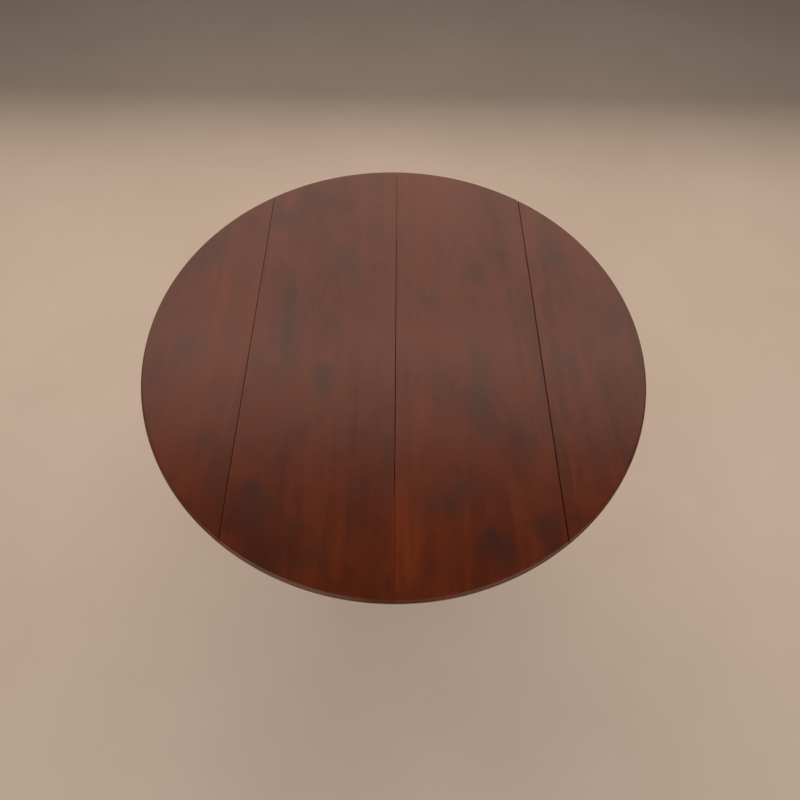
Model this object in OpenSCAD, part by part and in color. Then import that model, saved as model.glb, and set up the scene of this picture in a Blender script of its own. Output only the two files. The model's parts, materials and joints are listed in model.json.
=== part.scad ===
// Round pedestal table: a top in two halves that pull apart, a drop leaf on each half,
// and a turned column on four swept legs. The origin is on the floor under the column.
// X runs across the halves, Y along the seams, Z up. The front is -Y.

/* [Top] */
// Diameter of the round top with both leaves up
top_d = 1067; // [1000:1:1290]
// Height of the top's upper face above the floor
table_h = 749; // [620:1:900]
// Thickness of the top and its leaves
top_t = 22; // [19:0.2:27]
// Width across the two halves, from hinge line to hinge line
centre_w = 617; // [600:0.2:745]
// Gap at the middle seam between the two halves
seam_gap = 0.8; // [0.5:0.1:1.5]
// Gap on the upper face between a half and its leaf
leaf_gap = 0.8; // [0.5:0.1:1.5]

/* [Edge moulding] */
// Radius of the rounded arris at the top of the rim
arris_r = 3; // [1:0.5:4]
// Height of the upright quirk under the arris
quirk_h = 1.5; // [0.5:0.5:3]
// How far the quirk stands back from the rim
quirk_in = 3; // [1:0.5:5]
// Radius of the bead under the quirk
bead_r = 4; // [2:0.5:6]
// Radius of the rounded lower edge
lower_r = 8; // [3:0.5:9]

/* [Rule joint] */
// Height of the square shoulder above the rounded part
shoulder_h = 3.5; // [2.5:0.5:5]
// Height of the hinge pin's centre above the underside
pin_up = 3.5; // [3.3:0.1:4]
// Gap between the rounded edge and the leaf's hollow
cove_gap = 0.7; // [0.5:0.1:1]
// Radius that eases the lower corner of the rounded edge
toe_r = 1.5; // [1:0.1:2]

/* [Leaf hinges] */
// Distance from an outer hinge to the leaf's rim, measured along the seam
hinge_edge = 46; // [30:1:90]
// Length of a hinge along its pin
hinge_w = 38; // [30:1:50]
// Thickness of the hinge plates
plate_t = 1.8; // [1.5:0.1:2]
// Reach of the short plate under the half
short_plate = 34; // [28:1:34]
// Reach of the long plate under the leaf
long_plate = 62; // [50:1:75]
// Radius of a knuckle
knuckle_r = 3.2; // [2.8:0.1:3.3]
// Radius of the hinge pin
pin_r = 1.5; // [1.2:0.1:1.8]
// Width of the middle knuckle
knuckle_w = 12.6; // [10:0.1:16]

/* [Aprons] */
// Height of the aprons
apron_h = 76; // [68:1:90]
// Thickness of the aprons
apron_t = 19; // [15:1:22]
// How far the side apron stands in from the hinge line
apron_in = 37; // [36:1:50]
// How far the curved end aprons stand in from the rim
end_apron_in = 53.5; // [45:0.5:70]
// Side of the glue blocks in the corners
block_w = 35; // [28:1:45]

/* [Leaf supports] */
// Distance of each support from the middle
support_y = 200; // [190:1:215]
// Width of a support
support_w = 24; // [18:1:28]
// Height of a support
support_h = 34; // [28:1:38]
// Length of a support
support_l = 240; // [215:1:245]
// Drop from the underside of the leaf to the support
support_drop = 10; // [8:1:12]
// How far a support reaches past the hinge line
support_reach = 85; // [70:1:90]
// Slope of the support's ramped end, in degrees
ramp_a = 52; // [50:1:60]
// Depth of the wedge block under the leaf
bearer_h = 20; // [16:1:24]
// Width of the wedge block
bearer_w = 32; // [24:1:40]
// Thickness of the guide block around a support
guide_t = 20; // [14:1:26]

/* [Extension slides] */
// How far each half pulls out
travel = 230; // [150:5:230]
// Distance of each fixed rail's centre from the middle
rail_y = 110; // [106:1:116]
// Width of the rails and the runners
rail_w = 24; // [20:0.2:29]
// Height of the fixed rails
rail_h = 40; // [34:1:42]
// Height of the tongue on each side of a rail
tongue_h = 8; // [6:1:10]
// How far the tongue stands out
tongue_out = 7; // [5:0.5:7]
// Sliding clearance on every side of a rail and tongue
slide_gap = 0.35; // [0.3:0.05:0.5]
// Clearance between a runner and the half it passes under
pass_gap = 3; // [2:0.5:4]

/* [Equalizer gear] */
// Module of the gear teeth
gear_m = 3; // [2.5:0.5:3]
// Number of teeth on the pinion
gear_n = 16; // [14:2:16]
// Thickness of the pinion
gear_t = 8; // [6:1:10]
// Play between the teeth of the pinion and the racks
backlash = 0.6; // [0.4:0.1:0.8]
// Radius of the axle under the pinion
axle_r = 5; // [4:0.5:6]

/* [Table lock] */
// Distance of the lock in front of the middle
lock_y = 262; // [255:1:270]
// Distance from the lever's pivot to the keeper's pin
lock_reach = 40; // [36:1:46]
// Thickness of the hook lever
lever_t = 5; // [4:0.5:6]
// Angle that the lever turns from open to latched
lock_turn = 60; // [50:1:70]

/* [Pedestal] */
// Side of the square mounting plate
mount_w = 330; // [320:1:345]
// Thickness of the mounting plate
mount_t = 28; // [24:1:34]
// Radius of the drum that holds the legs
drum_r = 62; // [56:0.2:75]
// Height of the drum's lower face above the floor
drum_low = 150; // [130:1:170]
// Height of the drum's upper face above the floor
drum_high = 286; // [270:1:310]
// Radius of the widest part of the vase
vase_r = 61; // [52:1:68]
// Radius of the tenon in the mounting plate
tenon_r = 30; // [26:1:34]

/* [Legs] */
// Distance of each toe from the middle
toe_reach = 418; // [380:1:440]
// Thickness of a leg
leg_t = 40; // [34:1:44]
// Depth of the sliding dovetail on a leg
dovetail_d = 16; // [12:1:20]
// Height of a floor glide
glide_h = 6; // [4:1:8]
// Radius of a floor glide
glide_r = 14; // [11:1:16]

/* [Hidden] */
$fn = 64;

rosewood = "#5a2410";
maple = "#d8b98a";
brass = "#b08d3e";
steel = "#9aa0a4";
black = "#222222";

// levels and lines that several pieces share
eps = 0.01;
fit_gap = 0.05;                          // round a screw, a pin or a dowel
glue_gap = 0.1;                          // round a glued joint
top_r = top_d / 2;
under_z = table_h - top_t;               // underside of the top and the leaves
hinge_x = centre_w / 2;
rule_r = top_t - shoulder_h - pin_up;    // radius of the rule joint
pin_z = under_z + pin_up;
// the long plate's outer corner lies well inside the rim
hinge_margin = 20;
hinge_dy = sqrt(pow(top_r - hinge_margin, 2) - pow(hinge_x + long_plate, 2)) - hinge_w / 2 - hinge_edge;
hinge_ys = [-hinge_dy, 0, hinge_dy];
support_ys = [-support_y, support_y];

apron_x = hinge_x - apron_in;            // outer face of the side apron
apron_low = under_z - apron_h;
end_apron_r = top_r - end_apron_in;
end_apron_inner = end_apron_r - apron_t;

support_top = under_z - support_drop;
support_low = support_top - support_h;
support_tip = hinge_x + support_reach;
ramp_run = support_h / tan(ramp_a);
guide_stop = 16;                         // from a support's inner end to the guide block
guide_x = support_tip - support_l + guide_stop;
peg_r = 4;
peg_clear = 4;                           // between a support's stop peg and the top

mount_down = 47;                         // from the top's underside to the mounting plate
mount_top = under_z - mount_down;
mount_low = mount_top - mount_t;
rail_clear = 7.5;                        // from a rail's end to the side apron
rail_half = hinge_x - apron_in - apron_t - rail_clear;
tongue_up = 23;                          // height of the tongue's middle on the rail
tongue_z = mount_top + tongue_up;
runner_lift = 4;                         // between a runner and the mounting plate
runner_low = mount_top + runner_lift;
runner_over = 5;                         // how far a runner reaches past the rail's end
runner_x = rail_half + runner_over;

pitch_r = gear_m * gear_n / 2;
gear_up = 29;                            // height of the gear above the mounting plate
gear_z = mount_top + gear_up;
rack_lap = 1;                            // how far a rack stands past the gear, above and below
rack_t = gear_t + 2 * rack_lap;
rack_back = pitch_r + 5 * gear_m;
dedendum = 1.25 * gear_m;
pressure_a = 20;

lock_plate_t = 2.5;                      // thickness of the lock's two base plates
lock_gap = 1.5;                          // between the plates and the lever
pivot_x = lock_reach / 2 + 1;
keeper_x = pivot_x - lock_reach;
lever_z = under_z - lock_plate_t - lock_gap - lever_t;

// screws of the frame
frame_r = 2.2;
frame_head_r = 4;
frame_screw_l = 32;
frame_bite = 13;                         // how far a frame screw goes up into the top
bore_gap = 0.3;                          // round a screw's head in its counterbore

// ---- shared shapes ----

// Screw that points up from its head at z = 0
module screw(len, r, head_r) {
    difference() {
        union() {
            cylinder(h = head_r - r, r1 = head_r, r2 = r);
            cylinder(h = len - 2 * r, r = r);
            translate([0, 0, len - 2 * r]) cylinder(h = 2 * r, r1 = r, r2 = r / 4);
        }
        translate([-head_r, -head_r / 8, -eps]) cube([2 * head_r, head_r / 4, head_r / 4]);
    }
}

// Hole that the same screw fills
module screw_hole(len, r, head_r) {
    translate([0, 0, -eps]) cylinder(h = len + 1, r = r + fit_gap);
    translate([0, 0, -eps])
        cylinder(h = head_r - r + eps, r1 = head_r + fit_gap, r2 = r + fit_gap);
}

// Counterbored hole: a deep wide mouth, then the screw's own hole
module deep_hole(depth, len, r, head_r) {
    translate([0, 0, -1]) cylinder(h = depth + 1, r = head_r + bore_gap);
    translate([0, 0, depth]) screw_hole(len, r, head_r);
}

// Everything of one side is drawn for the right, and mirrored for the left
module on_side(side) {
    if (side > 0) children();
    else mirror([1, 0, 0]) children();
}

// Section in X and Z, drawn round the hinge pin, run along Y
module along_y(half_len) {
    translate([0, half_len, 0]) rotate([90, 0, 0]) linear_extrude(2 * half_len) children();
}

// Block with a centre in Y
module block(x0, x1, y, w, z0, z1) {
    translate([x0, y - w / 2, z0]) cube([x1 - x0, w, z1 - z0]);
}

function curve(p0, p1, p2, p3, n) = [
    for (i = [0 : n])
        let (t = i / n, s = 1 - t)
            s * s * s * p0 + 3 * s * s * t * p1 + 3 * s * t * t * p2 + t * t * t * p3
];

// ---- top boards ----

module round_top(out_r, low, high, r) {
    translate([0, low]) square([out_r, high - low - r]);
    translate([0, high - r - eps]) square([out_r - r, r + eps]);
    translate([out_r - r, high - r]) circle(r);
}

module round_foot(out_r, low, high, r) {
    translate([0, low + r]) square([out_r, high - low - r]);
    translate([0, low]) square([out_r - r, r + eps]);
    translate([out_r - r, low + r]) circle(r);
}

module top_disc() {
    bead_top = table_h - arris_r - quirk_h;
    rotate_extrude($fn = 180) {
        round_top(top_r - quirk_in, bead_top - bead_r, table_h, arris_r);
        round_top(top_r, under_z + lower_r, bead_top, bead_r);
        round_foot(top_r, under_z, bead_top - bead_r, lower_r);
    }
}

// Half's section: square shoulder, rounded edge, eased lower corner
module half_section() {
    translate([seam_gap / 2, under_z]) square([hinge_x - seam_gap / 2, top_t]);
    intersection() {
        translate([hinge_x, under_z]) square([rule_r, top_t]);
        union() {
            translate([hinge_x, pin_z]) circle(rule_r);
            translate([hinge_x, under_z + toe_r]) square([rule_r, pin_up - toe_r]);
            translate([hinge_x, under_z]) square([rule_r - toe_r, pin_up]);
            translate([hinge_x + rule_r - toe_r, under_z + toe_r]) circle(toe_r);
        }
    }
}

// Leaf's section: a thin lip over the hollow that matches the rounded edge
module leaf_section() {
    difference() {
        translate([hinge_x + leaf_gap, under_z]) square([top_r, top_t]);
        translate([hinge_x, pin_z]) circle(rule_r + cove_gap);
        translate([hinge_x, under_z - 1]) square([rule_r + cove_gap, pin_up + 1]);
    }
}

mortise_gap = 0.4;       // over a hinge plate's length in its mortise
swing_gap = 1;           // round the parts of a hinge that move
plate_lift = 0.5;        // over a long plate where it passes under a half

// Room in a half's underside for its hinges and for the long plates as they swing
module hinge_mortises() {
    gutter = knuckle_r + 1.2;
    for (y = hinge_ys) {
        block(hinge_x - short_plate, hinge_x, y, hinge_w + mortise_gap, under_z - 1, under_z + plate_t);
        block(hinge_x - gutter, hinge_x + gutter, y, hinge_w + swing_gap,
              under_z - 1, pin_z + knuckle_r + swing_gap);
        block(hinge_x, hinge_x + rule_r + swing_gap, y, hinge_w + swing_gap,
              under_z - 1, under_z + plate_t + plate_lift);
    }
}

// Places of the hinge screws, from the pin's line
short_screws = [for (y = [-1, 1]) [-short_plate * 0.65, y * hinge_w * 0.3]];
long_screws = concat([for (y = [-1, 1]) [rule_r + 13, y * hinge_w * 0.3]],
                     [[long_plate - 9, 0]]);
hinge_screw_l = 15;
hinge_screw_r = 1.6;
hinge_head_r = 3.3;

module at_screws(places) {
    for (y = hinge_ys)
        for (p = places)
            translate([hinge_x + p[0], y + p[1], under_z]) children();
}

module half_board() {
    difference() {
        intersection() {
            top_disc();
            along_y(top_r) half_section();
        }
        hinge_mortises();
        at_screws(short_screws) screw_hole(hinge_screw_l, hinge_screw_r, hinge_head_r);
    }
}

module leaf_board() {
    difference() {
        intersection() {
            top_disc();
            along_y(top_r) leaf_section();
        }
        for (y = hinge_ys)
            block(hinge_x, hinge_x + long_plate, y, hinge_w + mortise_gap, under_z - 1, under_z + plate_t);
        at_screws(long_screws) screw_hole(hinge_screw_l, hinge_screw_r, hinge_head_r);
        at_bearer_screws() screw_hole(bearer_screw_l, frame_r, frame_head_r);
    }
}

// ---- leaf hinges ----

module knuckle(y0, y1) {
    translate([0, y1, pin_up]) rotate([90, 0, 0]) cylinder(h = y1 - y0, r = knuckle_r);
}

module pin_bore() {
    translate([0, hinge_w, pin_up]) rotate([90, 0, 0]) cylinder(h = 2 * hinge_w, r = pin_r + fit_gap);
}

knuckle_play = 0.8;      // over the middle knuckle between the outer two

module short_hinge_plate() {
    gap_w = knuckle_w + knuckle_play;
    difference() {
        union() {
            block(-short_plate, 0, 0, hinge_w, 0, plate_t);
            knuckle(-hinge_w / 2, hinge_w / 2);
        }
        block(-knuckle_r - 1, knuckle_r + 1, 0, gap_w, -1, pin_up + knuckle_r + 1);
        pin_bore();
        for (p = short_screws) translate(p) screw_hole(hinge_screw_l, hinge_screw_r, hinge_head_r);
    }
}

module long_hinge_plate() {
    difference() {
        union() {
            block(knuckle_r + 1, long_plate, 0, hinge_w, 0, plate_t);
            block(0, knuckle_r + 1 + eps, 0, knuckle_w, 0, plate_t);
            knuckle(-knuckle_w / 2, knuckle_w / 2);
        }
        pin_bore();
        for (p = long_screws) translate(p) screw_hole(hinge_screw_l, hinge_screw_r, hinge_head_r);
    }
}

module at_hinges() {
    for (y = hinge_ys)
        translate([hinge_x, y, under_z]) children();
}

module hinge_plates(side) {
    color(brass) on_side(side) at_hinges() short_hinge_plate();
}

module leaf_plates(side) {
    color(brass) on_side(side) at_hinges() long_hinge_plate();
}

module hinge_pins(side) {
    color(steel) on_side(side) at_hinges()
        translate([0, hinge_w / 2, pin_up]) rotate([90, 0, 0]) cylinder(h = hinge_w, r = pin_r);
}

module hinge_screws(side) {
    color(brass) on_side(side) at_screws(short_screws) screw(hinge_screw_l, hinge_screw_r, hinge_head_r);
}

module leaf_screws(side) {
    color(brass) on_side(side) at_screws(long_screws) screw(hinge_screw_l, hinge_screw_r, hinge_head_r);
}

// ---- aprons ----

slot_gap = 0.6;          // round a support in the apron's slot

module side_apron(side) {
    color(rosewood) on_side(side) difference() {
        intersection() {
            translate([apron_x - apron_t, -top_r, apron_low]) cube([apron_t, top_d, apron_h]);
            translate([0, 0, apron_low]) cylinder(h = apron_h, r = end_apron_r, $fn = 180);
        }
        for (y = support_ys)
            block(apron_x - apron_t - 1, apron_x + 1, y, support_w + 2 * slot_gap,
                  support_low - slot_gap, support_top + slot_gap);
    }
}

// end is -1 for the front and 1 for the back
module end_apron(side, end) {
    color(rosewood) on_side(side) intersection() {
        difference() {
            translate([0, 0, apron_low]) cylinder(h = apron_h, r = end_apron_r, $fn = 180);
            translate([0, 0, apron_low - 1]) cylinder(h = apron_h + 2, r = end_apron_inner, $fn = 180);
        }
        translate([seam_gap / 2, end > 0 ? 0 : -top_r, apron_low])
            cube([apron_x - apron_t - seam_gap / 2, top_r, apron_h]);
    }
}

corner_y = sqrt(pow(end_apron_inner, 2) - pow(apron_x - apron_t, 2));
block_up = 20;           // from the apron's lower edge to a glue block
block_low = apron_low + block_up;
corner_screws = [
    for (end = [-1, 1]) [apron_x - apron_t - block_w / 2, end * (corner_y - block_w / 2), block_low]
];
corner_bore = apron_h - block_up + frame_bite - frame_screw_l;

module corner_blocks(side) {
    color(maple) on_side(side) difference() {
        intersection() {
            for (end = [-1, 1])
                translate([apron_x - apron_t - block_w, end > 0 ? corner_y - block_w : -top_r, block_low])
                    cube([block_w, top_r - corner_y + block_w, under_z - block_low]);
            cylinder(h = table_h, r = end_apron_inner - glue_gap, $fn = 180);
        }
        for (p = corner_screws) translate(p) deep_hole(corner_bore, frame_screw_l, frame_r, frame_head_r);
    }
}

// ---- leaf supports ----

// Finger hollow under a support's tip
finger_r = 9;
finger_back = 12;
finger_down = 3;

module support_section() {
    difference() {
        translate([support_tip - support_l, support_low]) square([support_l, support_h]);
        polygon([
            [support_tip - ramp_run, support_top + eps],
            [support_tip + eps, support_low + eps],
            [support_tip + ramp_run, support_top + eps]
        ]);
        translate([support_tip - ramp_run - finger_back, support_low - finger_down]) circle(finger_r);
    }
}

module supports(side) {
    color(maple) on_side(side) for (y = support_ys)
        translate([0, y, 0]) {
            along_y(support_w / 2) support_section();
            translate([guide_x - peg_r - 1, 0, support_top - eps])
                cylinder(h = support_drop - peg_clear, r = peg_r);
        }
}

guide_cheek = 18;        // thickness of a guide block on each side of its support
guide_floor = 8;
guide_gap = 0.4;         // round a support in its guide block
guide_w = support_w + 2 * guide_cheek;
guide_low = support_low - guide_floor;
guide_screws = [
    for (y = support_ys, s = [-1, 1]) [guide_x + guide_t / 2, y + s * (support_w / 4 + guide_w / 4), guide_low]
];
guide_bore = under_z - guide_low + frame_bite - frame_screw_l;

module support_guides(side) {
    color(maple) on_side(side) difference() {
        for (y = support_ys) block(guide_x, guide_x + guide_t, y, guide_w, guide_low, under_z);
        for (y = support_ys)
            block(guide_x - 1, guide_x + guide_t + 1, y, support_w + 2 * guide_gap,
                  support_low - guide_gap, support_top + guide_gap);
        for (p = guide_screws) translate(p) deep_hole(guide_bore, frame_screw_l, frame_r, frame_head_r);
    }
}

bearer_gap = 0.5;
bearer_top_x = support_tip - ramp_run - support_drop / tan(ramp_a) + bearer_gap;
bearer_low_x = bearer_top_x + bearer_h / tan(ramp_a);
bearer_l = 46;
bearer_ease = 8;         // sloped lower corner at the block's outer end
bearer_screw_l = 20;
bearer_bore = bearer_h - 8;

module at_bearer_screws() {
    for (y = support_ys)
        translate([bearer_top_x + bearer_l * 0.62, y, under_z - bearer_h + bearer_bore])
            children();
}

module bearers(side) {
    color(rosewood) on_side(side) difference() {
        for (y = support_ys)
            translate([0, y, 0]) along_y(bearer_w / 2) polygon([
                [bearer_top_x, under_z],
                [bearer_low_x, under_z - bearer_h],
                [bearer_top_x + bearer_l - bearer_ease, under_z - bearer_h],
                [bearer_top_x + bearer_l, under_z - bearer_h + bearer_ease],
                [bearer_top_x + bearer_l, under_z]
            ]);
        at_bearer_screws() translate([0, 0, -bearer_bore])
            deep_hole(bearer_bore, bearer_screw_l, frame_r, frame_head_r);
    }
}

module bearer_screws(side) {
    color(steel) on_side(side) at_bearer_screws() screw(bearer_screw_l, frame_r, frame_head_r);
}

// ---- extension slides ----

module rail(end) {
    color(maple) difference() {
        union() {
            block(-rail_half, rail_half, end * rail_y, rail_w, mount_top, mount_top + rail_h);
            block(-rail_half, rail_half, end * rail_y, rail_w + 2 * tongue_out,
                  tongue_z - tongue_h / 2, tongue_z + tongue_h / 2);
        }
        rail_screw_places() rail_screw_hole();
    }
}

rail_bore = 10;
rail_screw_l = 36;

module rail_screw_places() {
    for (x = [-0.38, -0.16, 0.16, 0.38], end = [-1, 1])
        translate([x * mount_w, end * rail_y, mount_low]) children();
}

module rail_screw_hole() {
    deep_hole(rail_bore, rail_screw_l, frame_r, frame_head_r);
}

// Left runners lie outside the rails and right runners inside them
function runner_y(side) = rail_y - side * (rail_w + slide_gap);
runner_bore = under_z - runner_low + frame_bite - frame_screw_l;
foot_in = 5;             // from the middle seam to where a runner meets its own half

module runner(side, end) {
    y = end * runner_y(side);
    groove_y = end * (runner_y(side) + side * rail_w / 2);
    color(maple) on_side(side) difference() {
        union() {
            block(-rail_half, runner_x, y, rail_w, runner_low, under_z - pass_gap);
            block(foot_in, runner_x, y, rail_w, runner_low, under_z);
        }
        block(-top_r, top_r, groove_y, 2 * (tongue_out + slide_gap),
              tongue_z - tongue_h / 2 - slide_gap, tongue_z + tongue_h / 2 + slide_gap);
        for (p = runner_screws(side)) translate(p) deep_hole(runner_bore, frame_screw_l, frame_r, frame_head_r);
    }
}

function runner_screws(side) = [
    for (end = [-1, 1], x = [0.2, 0.55, 0.9]) [x * runner_x, end * runner_y(side), runner_low]
];

// ---- equalizer gear ----

// Half the angle of a pinion tooth where its flank crosses radius r
base_r = pitch_r * cos(pressure_a);
function flank(r) = let (c = base_r / r) (tan(acos(c)) * 180 / PI - acos(c));
half_tooth = 90 / gear_n - backlash / 4 / pitch_r * 180 / PI;
function tooth_angle(r) = half_tooth + flank(pitch_r) - flank(r);
tip_r = pitch_r + gear_m;
root_r = pitch_r - dedendum;
core_r = root_r * 0.9;   // the teeth start inside the root circle
flank_steps = 6;

module pinion_outline() {
    rs = [for (i = [0 : flank_steps]) base_r + eps + (tip_r - base_r - eps) * i / flank_steps];
    a0 = tooth_angle(base_r + eps);
    circle(root_r);
    for (k = [0 : gear_n - 1])
        rotate(90 + 360 * k / gear_n)
            polygon(concat(
                [[core_r * cos(a0), -core_r * sin(a0)]],
                [for (r = rs) [r * cos(tooth_angle(r)), -r * sin(tooth_angle(r))]],
                [for (i = [flank_steps : -1 : 0])
                    let (r = rs[i]) [r * cos(tooth_angle(r)), r * sin(tooth_angle(r))]],
                [[core_r * cos(a0), core_r * sin(a0)]]
            ));
}

module equalizer_pinion() {
    color(black) translate([0, 0, gear_z]) difference() {
        linear_extrude(gear_t) pinion_outline();
        translate([0, 0, -1]) cylinder(h = gear_t + 2, r = axle_r + fit_gap);
    }
}

axle_stem_r = 4;
axle_stem_l = 18;
axle_foot_r = 16;
axle_flange_t = 3;
axle_play = 0.4;         // above and below the pinion

module equalizer_axle() {
    color(steel) union() {
        translate([0, 0, mount_top - axle_stem_l]) cylinder(h = axle_stem_l + eps, r = axle_stem_r);
        translate([0, 0, mount_top]) cylinder(h = axle_flange_t, r = axle_foot_r);
        translate([0, 0, mount_top]) cylinder(h = gear_up - axle_play, r = axle_r + 5);
        translate([0, 0, mount_top]) cylinder(h = gear_up + gear_t + 1, r = axle_r);
        translate([0, 0, gear_z + gear_t + axle_play]) cylinder(h = axle_flange_t, r = axle_r + 4);
    }
}

// Rack on the near side of the gear for the right half, on the far side for the left half
pitch = PI * gear_m;
rack_own = 200;
rack_far = travel + 2 * pitch;
rack_teeth = floor(rack_far / pitch) - 1;
foot_x = 30;

module rack_outline() {
    half_w = pitch / 4 - backlash / 4;
    slope = tan(pressure_a);
    translate([-rack_far, -rack_back]) square([rack_far + rack_own, rack_back - pitch_r - dedendum]);
    for (k = [-rack_teeth : 1])
        translate([(k + 0.5) * pitch, -pitch_r])
            polygon([
                [-half_w - dedendum * slope, -dedendum - eps],
                [half_w + dedendum * slope, -dedendum - eps],
                [half_w - gear_m * slope, gear_m],
                [-half_w + gear_m * slope, gear_m]
            ]);
}

rack_z = gear_z - rack_lap;
rack_mid = (rack_back + pitch_r + dedendum) / 2;
rack_screws = [for (x = [0.3, 0.6, 0.9]) [x * rack_own, -rack_mid, rack_z]];

module rack(side) {
    color(black) rotate([0, 0, side > 0 ? 0 : 180]) difference() {
        union() {
            translate([0, 0, rack_z]) linear_extrude(rack_t) rack_outline();
            block(foot_x, rack_own, -rack_mid, rack_back - pitch_r - dedendum, rack_z, under_z);
        }
        for (p = rack_screws) translate(p) screw_hole(frame_screw_l, frame_r, frame_head_r);
    }
}

// ---- all the screws that hold one half's frame from below ----

module at_frame_screws(side) {
    on_side(side) {
        for (p = runner_screws(side)) translate(p + [0, 0, runner_bore]) children();
        for (p = guide_screws) translate(p + [0, 0, guide_bore]) children();
        for (p = corner_screws) translate(p + [0, 0, corner_bore]) children();
    }
    rotate([0, 0, side > 0 ? 0 : 180]) for (p = rack_screws) translate(p) children();
}

module frame_screws(side) {
    color(steel) at_frame_screws(side) screw(frame_screw_l, frame_r, frame_head_r);
}

// ---- alignment pins and the table lock ----

align_ys = [-330, -150, 150, 330];
align_r = 4;
align_out = 10;
align_in = 20;
align_taper = 2;
align_play = 0.4;        // round a pin in its socket

module at_align() {
    for (y = align_ys)
        translate([0, y, under_z + top_t / 2]) rotate([0, 90, 0]) children();
}

module alignment_pins() {
    color(maple) at_align() union() {
        translate([0, 0, -align_in]) cylinder(h = align_in + align_out - align_taper, r = align_r);
        translate([0, 0, align_out - align_taper - eps])
            cylinder(h = align_taper, r1 = align_r, r2 = align_r - 1.5);
    }
}

lock_screw_l = 12;
lock_screw_r = 1.6;
lock_head_r = 3.2;
base_plate_w = 40;
base_plate_l = 34;
keeper_w = 30;
pivot_r = 3;
keeper_pin_r = 2.5;
cap_t = 3;               // head on the pivot and on the keeper's pin
cap_drop = 3.5;
cap_lip = 2.5;           // how far the pivot's head stands out
keeper_lip = 2;
base_screws = [for (x = [-10, 10], y = [-13, 13]) [pivot_x + x, y - lock_y, under_z - lock_plate_t]];
keeper_screws = [for (x = [-7, 9]) [keeper_x + x, x > 0 ? -9 - lock_y : 9 - lock_y, under_z - lock_plate_t]];

module plate_screws(places) {
    for (p = places) translate(p) screw(lock_screw_l, lock_screw_r, lock_head_r);
}

module plate_holes(places) {
    for (p = places) translate(p) screw_hole(lock_screw_l, lock_screw_r, lock_head_r);
}

module lock_base() {
    color(brass) difference() {
        union() {
            block(pivot_x - base_plate_l / 2, pivot_x + base_plate_l / 2, -lock_y, base_plate_w,
                  under_z - lock_plate_t, under_z);
            translate([pivot_x, -lock_y, lever_z - 1]) cylinder(h = under_z - lever_z, r = pivot_r);
            translate([pivot_x, -lock_y, lever_z - cap_drop]) cylinder(h = cap_t, r = pivot_r + cap_lip);
        }
        plate_holes(base_screws);
    }
}

module lock_keeper() {
    color(brass) difference() {
        union() {
            block(keeper_x - keeper_w / 2, keeper_x + keeper_w / 2, -lock_y, keeper_w,
                  under_z - lock_plate_t, under_z);
            translate([keeper_x, -lock_y, lever_z - 1]) cylinder(h = under_z - lever_z, r = keeper_pin_r);
            translate([keeper_x, -lock_y, lever_z - cap_drop])
                cylinder(h = cap_t, r = keeper_pin_r + keeper_lip);
        }
        plate_holes(keeper_screws);
    }
}

module lock_screws() {
    color(brass) plate_screws(base_screws);
}

lever_hub_r = 9;
lever_arm_w = 16;
handle_x = 20;
handle_w = 12;
handle_r = 8;
grip_r = 6;
grip_h = 12;
slot_half = keeper_pin_r + 0.4;

// Drawn latched about its pivot, then turned open: the slot is an arc round the pivot
module lever_outline() {
    difference() {
        union() {
            circle(lever_hub_r);
            translate([-lock_reach - lever_hub_r, -lever_arm_w / 2])
                square([lock_reach + lever_hub_r, lever_arm_w]);
            translate([0, -handle_w / 2]) square([handle_x, handle_w]);
            translate([handle_x, 0]) circle(handle_r);
        }
        circle(pivot_r + 0.1);
        difference() {
            circle(lock_reach + slot_half);
            circle(lock_reach - slot_half);
            translate([-lock_reach * 2, -lock_reach * 2]) square([4 * lock_reach, 2 * lock_reach - slot_half]);
            translate([0, -lock_reach * 2]) square(4 * lock_reach);
        }
    }
}

module lock_lever() {
    color(brass) translate([pivot_x, -lock_y, lever_z]) rotate(lock_turn) union() {
        linear_extrude(lever_t) lever_outline();
        translate([handle_x, 0, -grip_h]) cylinder(h = grip_h + eps, r = grip_r);
    }
}

// ---- the two halves with the holes for everything fixed to them ----

module top_left() {
    color(rosewood) difference() {
        on_side(-1) half_board();
        at_frame_screws(-1) screw_hole(frame_screw_l, frame_r, frame_head_r);
        at_align() translate([0, 0, -align_in - 1]) cylinder(h = align_in + 2, r = align_r + fit_gap);
        plate_holes(keeper_screws);
    }
}

module top_right() {
    color(rosewood) difference() {
        half_board();
        at_frame_screws(1) screw_hole(frame_screw_l, frame_r, frame_head_r);
        at_align() translate([0, 0, -1]) cylinder(h = align_out + 3, r = align_r + align_play);
        plate_holes(base_screws);
    }
}

module left_frame_screws() {
    frame_screws(-1);
    color(brass) plate_screws(keeper_screws);
}

// ---- pedestal ----

mount_corner = 24;

module mounting_plate() {
    color(rosewood) difference() {
        union() {
            translate([-mount_w / 2 + mount_corner, -mount_w / 2, mount_low])
                cube([mount_w - 2 * mount_corner, mount_w, mount_t]);
            translate([-mount_w / 2, -mount_w / 2 + mount_corner, mount_low])
                cube([mount_w, mount_w - 2 * mount_corner, mount_t]);
            for (sx = [-1, 1], sy = [-1, 1])
                translate([sx * (mount_w / 2 - mount_corner), sy * (mount_w / 2 - mount_corner), mount_low])
                    cylinder(h = mount_t, r = mount_corner);
        }
        translate([0, 0, mount_low - 1]) cylinder(h = mount_t + 2, r = tenon_r + fit_gap);
        rail_screw_places() rail_screw_hole();
    }
}

module rail_screws() {
    color(steel) rail_screw_places() translate([0, 0, rail_bore]) screw(rail_screw_l, frame_r, frame_head_r);
}

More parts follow.
